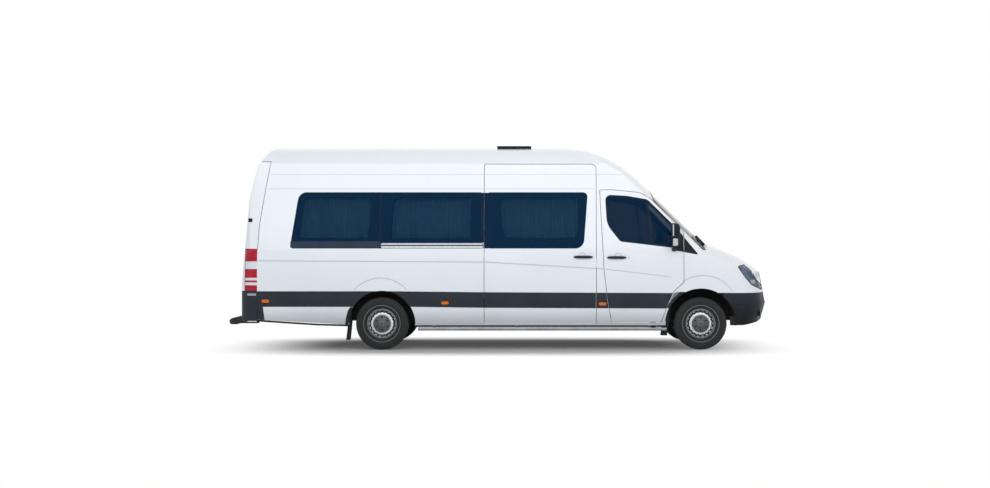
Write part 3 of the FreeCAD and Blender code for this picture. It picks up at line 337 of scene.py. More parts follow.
def painted_cowl():
    """Scuttle below the screen: enamel at both sides, and black grained plastic between."""
    made = Finish("painted_cowl", Specular_IOR_Level=0.3)
    drift = made.noise(4.0, 3.0)
    outer = made.ramp(made.sums("ABSOLUTE", made.axes()[1]), 0.596, 0.604)
    plastic = made.mix(drift, (0.006, 0.007, 0.008), (0.014, 0.015, 0.017))
    enamel = made.mix(drift, (0.76, 0.81, 0.86), (0.84, 0.89, 0.94))
    made.colour(made.mix(outer, plastic, enamel))
    made.rough(made.ramp(drift, 0.3, 0.7, 0.35, 0.5))
    made.bump(made.noise(500.0, 2.0), 0.0001)
    return made.material


def bumper_plastic():
    """Moulded bumper: slate above, and painted shade that makes it blacker towards its lower lip."""
    made = Finish("bumper_plastic", Specular_IOR_Level=0.18)
    drift, fine = made.noise(3.0, 4.0), made.noise(700.0, 2.0)
    # painted shade: the slate darkens downwards to near black at the lower lip
    height = made.ramp(made.sums("MULTIPLY_ADD", drift, 0.03, made.axes()[2]), 0.42, 0.80)
    low = made.mix(drift, (0.003, 0.004, 0.005), (0.006, 0.007, 0.009))
    high = made.mix(drift, (0.013, 0.019, 0.027), (0.021, 0.029, 0.040))
    made.colour(made.mix(height, low, high))
    made.rough(made.ramp(drift, 0.25, 0.75, 0.45, 0.62))
    made.bump(fine, 0.0003)
    return made.material


PAINT = body_paint()
# painted shade for the pressed lines, the flare edges and the handle cups
CREASE_SHADE = crease_enamel()
BUMPER = bumper_plastic()
COWL = painted_cowl()
SLATE = mottled("slate_plastic", (0.017, 0.022, 0.030), (0.028, 0.036, 0.047), (0.5, 0.66), 3.0, 700.0, 0.0003,
                Specular_IOR_Level=0.18)
# painted reflection: a much paler copy of the slate, for the rub strip on the front wing
SLATE_PAINTED_REFLECTION = mottled("slate_painted_reflection", (0.13, 0.16, 0.19), (0.21, 0.25, 0.29), (0.15, 0.25), 3.0, 700.0, 0.0002,
                      Coat_Weight=0.4)
BLACK = mottled("black_plastic", (0.005, 0.007, 0.010), (0.012, 0.015, 0.020), (0.3, 0.45), 5.0, 500.0, 0.0002,
                Specular_IOR_Level=0.12)
RUBBER = mottled("seal_rubber", (0.008, 0.008, 0.009), (0.020, 0.020, 0.021), (0.6, 0.8), 12.0, 300.0, 0.0003,
                 Specular_IOR_Level=0.25)
UNDERSEAL = mottled("underseal", (0.010, 0.010, 0.011), (0.030, 0.029, 0.028), (0.7, 0.9), 9.0, 160.0, 0.001,
                    Specular_IOR_Level=0.2)
FRAME_PAINT = mottled("frame_paint", (0.018, 0.018, 0.019), (0.045, 0.043, 0.041), (0.5, 0.75), 5.0, 220.0, 0.0006,
                      Specular_IOR_Level=0.3)
CAST = mottled("cast_metal", (0.06, 0.058, 0.055), (0.17, 0.16, 0.15), (0.55, 0.8), 12.0, 190.0, 0.0012, Metallic=0.6)
EXHAUST = mottled("exhaust_steel", (0.10, 0.085, 0.07), (0.27, 0.25, 0.23), (0.4, 0.7), 4.0, 120.0, 0.0006,
                  Metallic=0.8)
GREY_CAP = mottled("wheel_cap_grey", (0.048, 0.054, 0.060), (0.080, 0.088, 0.097), (0.35, 0.5), 15.0, 400.0, 0.0002,
                   Metallic=0.2)
DASH = mottled("dash_plastic", (0.022, 0.023, 0.026), (0.040, 0.042, 0.046), (0.55, 0.7), 4.0, 900.0, 0.0006,
               Specular_IOR_Level=0.3)
LEATHER = mottled("wheel_leather", (0.012, 0.012, 0.013), (0.028, 0.028, 0.030), (0.4, 0.6), 30.0, 700.0, 0.0005,
                  Specular_IOR_Level=0.35)
TRIM_GREY = mottled("trim_grey", (0.16, 0.17, 0.18), (0.24, 0.25, 0.27), (0.5, 0.65), 4.0, 700.0, 0.0003)
MIRROR = steel_bright("mirror_face", (0.85, 0.88, 0.90), (0.02, 0.04))
CHROME = steel_bright("reflector_chrome", (0.80, 0.84, 0.88), (0.05, 0.12))
STEEL = steel_bright("stainless_tube")
RAIL = steel_bright("slide_rail_alloy", (0.62, 0.65, 0.69), (0.25, 0.4))
STEP_FACE = mottled("step_tube_grey", (0.20, 0.215, 0.23), (0.36, 0.385, 0.41), (0.3, 0.5), 6.0, 260.0, 0.0004,
                    Metallic=0.3)
BAND = mottled("pane_band", (0.012, 0.024, 0.044), (0.020, 0.040, 0.070), (0.3, 0.45), 3.0, 500.0, 0.0002,
               Specular_IOR_Level=0.15)
PANE_EDGE = mottled("pane_edge_tint", (0.0012, 0.017, 0.049), (0.002, 0.020, 0.056), (0.03, 0.06), 2.0, 60.0, 0.00002,
                    Specular_IOR_Level=0.02)
RAIL_FACE = mottled("slide_rail_face", (0.42, 0.45, 0.48), (0.60, 0.64, 0.68), (0.3, 0.45), 30.0, 400.0, 0.0003,
                    Metallic=0.2)
ORANGE = mottled("marker_amber", (0.60, 0.10, 0.0), (0.88, 0.19, 0.003), (0.12, 0.25), 60.0, 300.0, 0.0003,
                 Coat_Weight=0.1, Coat_Roughness=0.04, Specular_IOR_Level=0.2)
REFLECTOR = mottled("reflector_grey", (0.25, 0.26, 0.28), (0.42, 0.43, 0.45), (0.15, 0.3), 60.0, 500.0, 0.0005,
                    Coat_Weight=0.4)
PALE_LENS = mottled("pale_lens", (0.42, 0.40, 0.40), (0.62, 0.64, 0.67), (0.08, 0.2), 45.0, 260.0, 0.0004,
                    Coat_Weight=0.5, Coat_Roughness=0.03)
RED_LAMP = mottled("brake_lamp_red", (0.24, 0.004, 0.008), (0.5, 0.012, 0.02), (0.1, 0.2), 30.0, 200.0, 0.0003,
                   Coat_Weight=0.5)
PLATE_FACE = mottled("plate_face", (0.70, 0.71, 0.70), (0.80, 0.81, 0.80), (0.35, 0.5), 8.0, 500.0, 0.0001)
DIAL = mottled("dial_face", (0.006, 0.006, 0.007), (0.012, 0.012, 0.013), (0.3, 0.4), 20.0, 500.0, 0.0001)
DIAL_MARK = mottled("dial_mark", (0.70, 0.71, 0.72), (0.82, 0.83, 0.84), (0.4, 0.5), 20.0, 500.0, 0.0001)
TYRE = tyre_rubber()
RIM = rim_steel()
TAIL = lens_bands()
FLOOR_TRIM = trimmed_floor()
SEAT_CLOTH = woven("seat_cloth", (0.035, 0.048, 0.085), (0.075, 0.095, 0.15), 700.0, 0.25)
CURTAIN_CLOTH = woven("curtain_cloth", (0.055, 0.20, 0.36), (0.13, 0.34, 0.54), 900.0, 0.1)
LAMP_LENS = tinted("lamp_lens", (0.10, 0.17, 0.25), 0.30)
SCREEN_GLASS = tinted("screen_glass", (0.008, 0.022, 0.032), 0.30, 0.01, ripple=0.00002)
# grey steel bowls whose pale blue tone is painted reflection, standing for the highlights in the lamps
LAMP_BOWL_PAINTED_REFLECTION = mottled("lamp_bowl", (0.13, 0.18, 0.24), (0.34, 0.43, 0.54), (0.2, 0.35), 14.0, 300.0, 0.0005,
                    Metallic=0.3)
# each clear zone: its ends and heights, corner radius, and how far each end leans forward with height
SIDE_GLASS = side_glass("side_glass", [
    (-2.700, -1.756, 1.514, 2.056, 0.025, 0.162, 0.099), (-1.464, -0.390, 1.514, 2.056, 0.025, 0.086, 0.02),
    (0.012, 1.070, 1.514, 2.056, 0.07, -0.12, 0.075),
], 0.42)
DOOR_GLASS = side_glass("door_glass", [(1.30, 2.45, 1.2, 2.2, 0.02, 0.0, 0.0)], 0.70)
REAR_GLASS = side_glass("rear_glass", [(-3.62, -3.30, 1.47, 1.98, 0.04, 0.0, 0.0)], 0.80)

# the usual slot of each finish, unless a call names another; link looks it up but does not give it to the piece
USUAL_SLOT = {finish.name: slot for slot, finishes in {
    "paint": (PAINT, CREASE_SHADE, PLATE_FACE, DIAL_MARK),
    "dark_plastic": (SLATE, SLATE_PAINTED_REFLECTION, BLACK, BAND, GREY_CAP, DASH, LEATHER, TRIM_GREY, DIAL),
    "bare_steel": (STEEL, RAIL, RAIL_FACE),
    "chassis_steel": (FRAME_PAINT,),
    "cast": (CAST,),
    "rubber": (RUBBER, UNDERSEAL),
    "tyre": (TYRE,),
    "glass": (PANE_EDGE, MIRROR),
    "clear_lens": (ORANGE, REFLECTOR, PALE_LENS, CHROME, LAMP_LENS, LAMP_BOWL_PAINTED_REFLECTION),
    "red_lens": (RED_LAMP,),
    "seat_cloth": (SEAT_CLOTH,),
    "curtain_cloth": (CURTAIN_CLOTH,),
}.items() for finish in finishes}

# the construction's own nodes, dressed by finish; {} stands for a hand
NODE_FINISHES = (
    (PAINT, "side_wall_{} door_{} rear_door_{} roof sliding_door front_wings bonnet"),
    (BLACK, "hatch_frame hatch_lid grille wipers screen_frame fuel_tank"),
    (SLATE, "rear_bumper rear_step"),
    (UNDERSEAL, "bulkhead wheel_houses"),
    (FRAME_PAINT, "frame_rails prop_shaft"),
    (CAST, "front_subframe rear_axle leaf_springs engine knuckle_{}"),
    (RIM, "rim_front_{} rim_rear_{}"),
    (SIDE_GLASS, "side_windows"), (DOOR_GLASS, "door_glass_{}"), (REAR_GLASS, "rear_glass_{}"),
    (SCREEN_GLASS, "windscreen"), (TAIL, "tail_lights"), (BUMPER, "front_bumper"), (COWL, "cowl"),
    (FLOOR_TRIM, "floor"), (RUBBER, "mud_flaps"), (STEP_FACE, "side_steps"), (EXHAUST, "exhaust"),
    (DASH, "dashboard"), (LEATHER, "steering_wheel"), (TRIM_GREY, "curtain_rails"),
)
for finish, names in NODE_FINISHES:
    for node in sorted({name.format(hand) for name in names.split() for hand in SIDES}):
        slots = NODES[node].data.materials
        slots.clear()
        slots.append(finish)


# ------------------------------------------------------------------ shapes
OUT = {"right": Vector((0, -1, 0)), "left": Vector((0, 1, 0)), "front": Vector((1, 0, 0)),
       "rear": Vector((-1, 0, 0)), "top": Vector((0, 0, 1))}
SKIN_NODES = """side_wall_right side_wall_left roof sliding_door front_wings bonnet door_right door_left
    rear_door_right rear_door_left tail_lights rear_bumper front_bumper grille cowl windscreen headlights side_windows
    door_glass_right door_glass_left rear_glass_right rear_glass_left""".split()


def skin_tree():
    """Search tree of the vehicle's outer surfaces, for laying trim on them."""
    points, faces = [], []
    for node in SKIN_NODES:
        data = NODES[node].data
        base = len(points)
        points += [v.co.copy() for v in data.vertices]
        faces += [[base + i for i in p.vertices] for p in data.polygons]
    return BVHTree.FromPolygons(points, faces)


SKIN = skin_tree()
CLEAR_OF_SKIN = 6.0


def lay(view, u, v, depth=0.0):
    """Point (u, v) of the plane that a view looks straight at, that far out towards the viewer."""
    flat = {"right": (u, 0, v), "left": (u, 0, v), "front": (0, u, v), "rear": (0, u, v), "top": (u, v, 0)}[view]
    return Vector(flat) + OUT[view] * depth


def surface(view, u, v, spread=0.009):
    """How far out the skin stands at (u, v), looking past a gap between two panels."""
    found = []
    for du in (0, spread, -spread):
        hit = SKIN.ray_cast(lay(view, u + du, v, CLEAR_OF_SKIN), -OUT[view])[0]
        if hit is not None:
            found.append(hit.dot(OUT[view]))
    if found:
        return max(found)
    return SKIN.find_nearest(lay(view, u, v, 1.0))[0].dot(OUT[view])


def rounded(points, steps=6):
    """Outline with each (u, v, radius) corner turned into an arc."""
    full = [(p[0], p[1], p[2] if len(p) > 2 else 0) for p in points]
    loop = []
    for before, here, after in zip(full[-1:] + full[:-1], full, full[1:] + full[:1]):
        if not here[2]:
            loop.append(here[:2])
            continue
        middle = Vector(here[:2])
        a = (Vector(before[:2]) - middle).normalized()
        b = (Vector(after[:2]) - middle).normalized()
        half = max(a.angle(b) / 2, 0.05)
        back = here[2] / math.tan(half)
        centre = middle + (a + b).normalized() * (here[2] / math.sin(half))
        start, end = middle + a * back - centre, middle + b * back - centre
        turn = start.angle_signed(end)
        for k in range(steps + 1):
            angle = -turn * k / steps
            loop.append((centre.x + start.x * math.cos(angle) - start.y * math.sin(angle),
                         centre.y + start.x * math.sin(angle) + start.y * math.cos(angle)))
    return loop


def arc(centre, radius, start, end, steps=24):
    """Points of an arc, angles in degrees."""
    turns = [math.radians(start + (end - start) * k / steps) for k in range(steps + 1)]
    return [(centre[0] + radius * math.cos(t), centre[1] + radius * math.sin(t)) for t in turns]


def plate(view, outline, lift, edge=0.004, low=0.4, sink=0.004, grid=0.09):
    """Closed plate that lies on the skin: lift above it inside, lower along its bevelled edge."""
    bm = bmesh.new()
    bm.faces.new([bm.verts.new((u, v, 0)) for u, v in rounded(outline)])
    bmesh.ops.inset_region(bm, faces=bm.faces[:], thickness=edge, use_even_offset=True)
    for vert in bm.verts:
        vert.co.z = 1.0 if vert.is_boundary else 0.0
    for axis in (0, 1):
        values = [v.co[axis] for v in bm.verts]
        normal = (1, 0, 0) if axis == 0 else (0, 1, 0)
        for k in range(math.ceil(min(values) / grid), math.floor(max(values) / grid) + 1):
            at = (k * grid, 0, 0) if axis == 0 else (0, k * grid, 0)
            geometry = bm.verts[:] + bm.edges[:] + bm.faces[:]
            bmesh.ops.bisect_plane(bm, geom=geometry, plane_co=at, plane_no=normal, dist=WELD)
    bmesh.ops.triangulate(bm, faces=[f for f in bm.faces if len(f.verts) > 4])
    faces = faces_of(bm)
    top, under = [], []
    for vert in bm.verts:
        u, v, rim = vert.co
        depth = surface(view, u, v)
        rise = lift(u, v) if callable(lift) else lift
        top.append(lay(view, u, v, depth + rise * (1 - rim * (1 - low))))
        under.append(lay(view, u, v, depth - sink))
    count = len(top)
    walls = []
    for bound in bm.edges:
        if bound.is_boundary:
            a, b = (v.index for v in bound.verts)
            walls.append([a, b, b + count, a + count])
    faces += [[count + i for i in reversed(f)] for f in faces] + walls
    bm.free()
    return top + under, faces


def ribbon(view, line, half, lift, sink=0.003):
    """Narrow plate along a line on the skin."""
    up = [(u, v + half) for u, v in line]
    down = [(u, v - half) for u, v in reversed(line)]
    return plate(view, down + up, lift, half * 0.8, 0.15, sink, 0.15)


def turns(count):
    """Equal turns of a full circle."""
    return [2 * math.pi * k / count for k in range(count)]


def between_rings(rings, spokes, closed=False):
    """The four-sided faces between neighbouring rings of points, and from the last to the first if closed."""
    faces = []
    for k in range(rings if closed else rings - 1):
        a, b = k * spokes, (k + 1) % rings * spokes
        for s in range(spokes):
            t = (s + 1) % spokes
            faces.append([a + s, a + t, b + t, b + s])
    return faces


def rod(points, radius, sides=10, closed=False):
    """Round bar through points, capped unless it is a closed loop."""
    points = [Vector(p) for p in points]
    count = len(points)
    out = []
    normal = None
    for k, point in enumerate(points):
        before = points[k - 1] if k or closed else point
        after = points[(k + 1) % count] if k < count - 1 or closed else point
        along = (after - before).normalized()
        if normal is None:
            normal = along.orthogonal().normalized()
        normal = (normal - along * normal.dot(along)).normalized()
        other = along.cross(normal)
        out += [point + (normal * math.cos(turn) + other * math.sin(turn)) * radius for turn in turns(sides)]
    faces = between_rings(count, sides, closed)
    if not closed:
        faces += [list(range(sides)), [count * sides - sides + s for s in reversed(range(sides))]]
    return out, faces


def turned(profile, x, y, z, side, steps):
    """Ring turned about a line along Y through (x, y, z): (radius, distance out) points of a closed profile."""
    out = [Vector((x + radius * math.cos(turn), y + side * reach, z + radius * math.sin(turn)))
           for turn in turns(steps) for radius, reach in profile]
    return out, between_rings(steps, len(profile), True)


def pillow(centre, half, square, rings=10):
    """Rounded closed form in a box: the lower square is, the flatter its faces and the sharper its edges."""
    out = []
    spokes = rings * 2

    def bend(value):
        return math.copysign(abs(value) ** square, value)

    for i in range(1, rings):
        rise = math.pi * (i / rings - 0.5)
        for turn in turns(spokes):
            out.append(Vector((bend(math.cos(rise)) * bend(math.cos(turn)), bend(math.cos(rise)) * bend(math.sin(turn)),
                               bend(math.sin(rise)))))
    out += [Vector((0, 0, -1)), Vector((0, 0, 1))]
    low, high = len(out) - 2, len(out) - 1
    faces = between_rings(rings - 1, spokes)
    for j in range(spokes):
        k = (j + 1) % spokes
        faces.append([low, k, j])
        faces.append([high, (rings - 2) * spokes + j, (rings - 2) * spokes + k])
    return [p * Vector(half) + Vector(centre) for p in out], faces


def block(low, high, bevel):
    """Box with rounded edges."""
    low, high = Vector(low), Vector(high)
    bm = bmesh.new()
    bmesh.ops.create_cube(bm, size=1)
    for vert in bm.verts:
        vert.co = Vector(vert.co[k] * (high[k] - low[k]) for k in range(3))
    bmesh.ops.bevel(bm, geom=bm.edges[:], offset=bevel, segments=2, affect="EDGES", profile=0.5)
    middle = (low + high) / 2
    out, faces = [v.co + middle for v in bm.verts], faces_of(bm)
    bm.free()
    return out, faces


def faces_of(bm):
    """Each face as the numbers of its points."""
    bm.verts.index_update()
    return [[v.index for v in f.verts] for f in bm.faces]


def mirrored(shape):
    """A shape's copy on the other side of the vehicle."""
    return [Vector((p[0], -p[1], p[2])) for p in shape[0]], [list(reversed(f)) for f in shape[1]]


def on_side(hand, shape):
    """A right-hand shape, or its left-hand copy."""
    return shape if hand == "right" else mirrored(shape)


def link(name, data, finish, body="chassis", slot=None, smooth=35):
    """Files a finished mesh as a piece that rides on a body, in its finish; the slot, the finish's usual one unless
    given, is looked up but not set.
    """
    made = bpy.data.objects.new(name, data)
    bpy.context.scene.collection.objects.link(made)
    data.materials.clear()
    data.materials.append(finish)
    data.shade_smooth()
    data.set_sharp_from_angle(angle=math.radians(smooth))
    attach(made, body)
    slot or USUAL_SLOT[finish.name]
    return made


def add(name, shapes, finish, body="chassis", slot=None, smooth=35):
    """One piece from several closed shapes."""
    points, faces = [], []
    for shape_points, shape_faces in shapes:
        base = len(points)
        points += [tuple(p) for p in shape_points]
        faces += [[base + i for i in f] for f in shape_faces]
    data = bpy.data.meshes.new(name)
    data.from_pydata(points, [], faces)
    bm = bmesh.new()
    bm.from_mesh(data)
    bmesh.ops.remove_doubles(bm, verts=bm.verts[:], dist=2e-6)
    bmesh.ops.recalc_face_normals(bm, faces=bm.faces[:])
    bm.to_mesh(data)
    bm.free()
    return link(name, data, finish, body, slot, smooth)


def copies_tree():
    """Node tree that repeats the shape it is given: turned about Y and moved on at each step, about one point."""
    tree = bpy.data.node_groups.new("Copies", "GeometryNodeTree")
    face = tree.interface
    face.new_socket("Shape", in_out="INPUT", socket_type="NodeSocketGeometry")
    for name, kind in (("Count", "Int"), ("Turn", "Float"), ("Step", "Vector"), ("Place", "Vector"),
                       ("Finish", "Material")):
        face.new_socket(name, in_out="INPUT", socket_type="NodeSocket" + kind)
    face.new_socket("Copies", in_out="OUTPUT", socket_type="NodeSocketGeometry")

    def node(kind, wires=(), **settings):
        made = tree.nodes.new(kind)
        for key, value in settings.items():
            setattr(made, key, value)
        for socket, value in dict(wires).items():
            if isinstance(value, bpy.types.NodeSocket):
                tree.links.new(value, made.inputs[socket])
            else:
                made.inputs[socket].default_value = value
        return made

    given = node("NodeGroupInput").outputs
    number = node("GeometryNodeInputIndex").outputs[0]
    turn = node("ShaderNodeMath", {0: number, 1: given["Turn"]}, operation="MULTIPLY").outputs[0]
    turn = node("ShaderNodeCombineXYZ", {1: turn}).outputs[0]
    move = node("ShaderNodeVectorMath", {0: given["Step"], "Scale": number}, operation="SCALE").outputs[0]
    move = node("ShaderNodeVectorMath", {0: move, 1: given["Place"]}, operation="ADD").outputs[0]
    points = node("GeometryNodePoints", {"Count": given["Count"], "Position": move}).outputs[0]
    spread = node("GeometryNodeInstanceOnPoints", {"Points": points, "Instance": given["Shape"],
                                                   "Rotation": turn}).outputs[0]
    real = node("GeometryNodeRealizeInstances", {0: spread}).outputs[0]
    dressed = node("GeometryNodeSetMaterial", {0: real, "Material": given["Finish"]}).outputs[0]
    node("NodeGroupOutput", {0: dressed})
    return tree


COPIES = copies_tree()


def repeat(name, shapes, finish, body, count, place, turn=0.0, step=(0, 0, 0), slot=None):
    """A piece of count copies of a shape that is given about its own origin."""
    seed = add(name + "_one", shapes, finish, body, slot)
    seed.parent = None
    modifier = seed.modifiers.new("Copies", "NODES")
    modifier.node_group = COPIES
    values = {"Count": count, "Turn": turn, "Step": step, "Place": place, "Finish": finish}
    for item in COPIES.interface.items_tree:
        if item.in_out == "INPUT" and item.name in values:
            modifier[item.identifier] = values[item.name]
    seed.update_tag()
    bpy.context.view_layer.update()
    graph = bpy.context.evaluated_depsgraph_get()
    data = bpy.data.meshes.new_from_object(seed.evaluated_get(graph))
    seed.modifiers.clear()
    bpy.data.objects.remove(seed)
    data.name = name
    return link(name, data, finish, body, slot)


LOOKS_ALONG, LOOP_STEP, LOOP_LEAST = 0.55, 0.002, 8


def outlines(node, way):
    """Closed outlines of the faces of a node that look along way, without their shortest steps."""
    bm = bmesh.new()
    bm.from_mesh(NODES[node].data)
    bmesh.ops.remove_doubles(bm, verts=bm.verts[:], dist=WELD)
    bmesh.ops.delete(bm, geom=[f for f in bm.faces if f.normal.dot(way) < LOOKS_ALONG],
                     context="FACES")
    open_edges = {e: True for e in bm.edges if e.is_boundary}
    loops = []
    while open_edges:
        edge = next(iter(open_edges))
        del open_edges[edge]
        ring = list(edge.verts)
        while ring[-1] is not ring[0]:
            onward = next((e for e in ring[-1].link_edges if e in open_edges), None)
            if onward is None:
                break
            del open_edges[onward]
            ring.append(onward.other_vert(ring[-1]))
        points = []
        for vert in ring[:-1]:
            if not points or (vert.co - points[-1]).length > LOOP_STEP:
                points.append(vert.co.copy())
        if len(points) > LOOP_LEAST:
            loops.append(points)
    bm.free()
    return loops


def loft(rings):
    """Closed form through rings of points, each with as many points."""
    count = len(rings[0])
    last = (len(rings) - 1) * count
    ends = [list(reversed(range(count))), list(range(last, last + count))]
    return [Vector(p) for ring in rings for p in ring], between_rings(len(rings), count) + ends


def layered(outline, stations, place):
    """Closed form of one outline at several depths: stations of (depth, shrink in metres)."""
    loop = rounded(outline)
    mid = (sum(p[0] for p in loop) / len(loop), sum(p[1] for p in loop) / len(loop))
    wide = max(abs(p[0] - mid[0]) for p in loop)
    tall = max(abs(p[1] - mid[1]) for p in loop)
    rings = []
    for depth, shrink in stations:
        rings.append([place(mid[0] + (u - mid[0]) * (1 - shrink / wide),
                            mid[1] + (v - mid[1]) * (1 - shrink / tall), depth) for u, v in loop])
    return loft(rings)


def from_right(x, z, y):
    """Point of a layered shape whose outline is in X and Z, standing out on the right."""
    return Vector((x, -y, z))


def from_behind(y, z, x):
    """Point of a layered shape whose outline is in Y and Z."""
    return Vector((x, y, z))


def oblong(u0, v0, u1, v1, radius):
    """Outline of a rectangle with rounded corners."""
    return [(u0, v0, radius), (u1, v0, radius), (u1, v1, radius), (u0, v1, radius)]


def facing(view, shape):
    """Turns a shape made about Y, looking along -Y, so that it looks out of a view."""
    turn = {"right": 0, "front": math.pi / 2, "left": math.pi, "rear": -math.pi / 2}[view]
    matrix = Matrix.Rotation(turn, 3, "Z")
    return [matrix @ Vector(p) for p in shape[0]], shape[1]


def moved(shape, place):
    """A shape moved by place."""
    return [Vector(p) + Vector(place) for p in shape[0]], shape[1]


def dial(view, profile, steps):
    """A shape turned about a view's line of sight: (radius, distance back) points of a closed profile."""
    return facing(view, turned(profile, 0, 0, 0, 1, steps))


def lamp_ring(view, u, v, profile, steps=48):
    """A turned shape, as (radius, distance out) points, standing on the skin at (u, v)."""
    ring = dial(view, [(r, -out) for r, out in profile], steps)
    return moved(ring, lay(view, u, v, surface(view, u, v)))


# ------------------------------------------------------------------ side trim
ARCH_REAR = (REAR_AXLE_X, TYRE_R)
ARCH_FRONT = (FRONT_AXLE_X, TYRE_R)
TRIM_R_REAR, TRIM_R_FRONT = 0.451, 0.482  # where the trim is cut away round each arch
FLARE_REAR, FLARE_FRONT = (-1.620, 0.494), (2.745, 0.529)
FLARE_R, FLARE_EDGE_R, FLARE_WIDTH, FLARE_OUTER_LIFT = 0.475, 0.482, 0.15, 0.004
STRIP_LOW, STRIP_BEND, STRIP_TOP = 0.587, 0.733, 0.797
STRIP_LIFT, STRIP_LEAN, STRIP_FALL, STRIP_START_X = 0.014, 0.011, 0.0042, -3.25
BUMPER_SEAM_X = -3.2925


def beyond_arch(centre, radius, near):
    """Lift of near at a wheel arch's edge, which falls away over the flare's width."""
    def lift(u, v):
        share = (math.hypot(u - centre[0], v - centre[1]) - radius) / FLARE_WIDTH
        return near + (FLARE_OUTER_LIFT - near) * min(1.0, max(0.0, share))
    return lift


def along(centre, radius, u, v):
    """The point at a radius from a centre, in the direction of (u, v)."""
    far = math.hypot(u - centre[0], v - centre[1])
    return centre[0] + (u - centre[0]) * radius / far, centre[1] + (v - centre[1]) * radius / far


def strip_fall(u):
    """How far the rub strip, which falls a little towards the front, has come down at u."""
    return STRIP_FALL * (u - STRIP_START_X)


def falling(*points):
    """Outline points brought down with the rub strip."""
    return [(u, v - strip_fall(u), *rest) for u, v, *rest in points]


def strip_lift(u, v):
    """Rub strip: flat below, and leaning back in its top third."""
    return STRIP_LIFT - STRIP_LEAN * max(0.0, (v + strip_fall(u) - STRIP_BEND) / (STRIP_TOP - STRIP_BEND))


def strip(view, outline):
    """One length of the rub strip."""
    return plate(view, outline, strip_lift, 0.008, grid=0.0332)


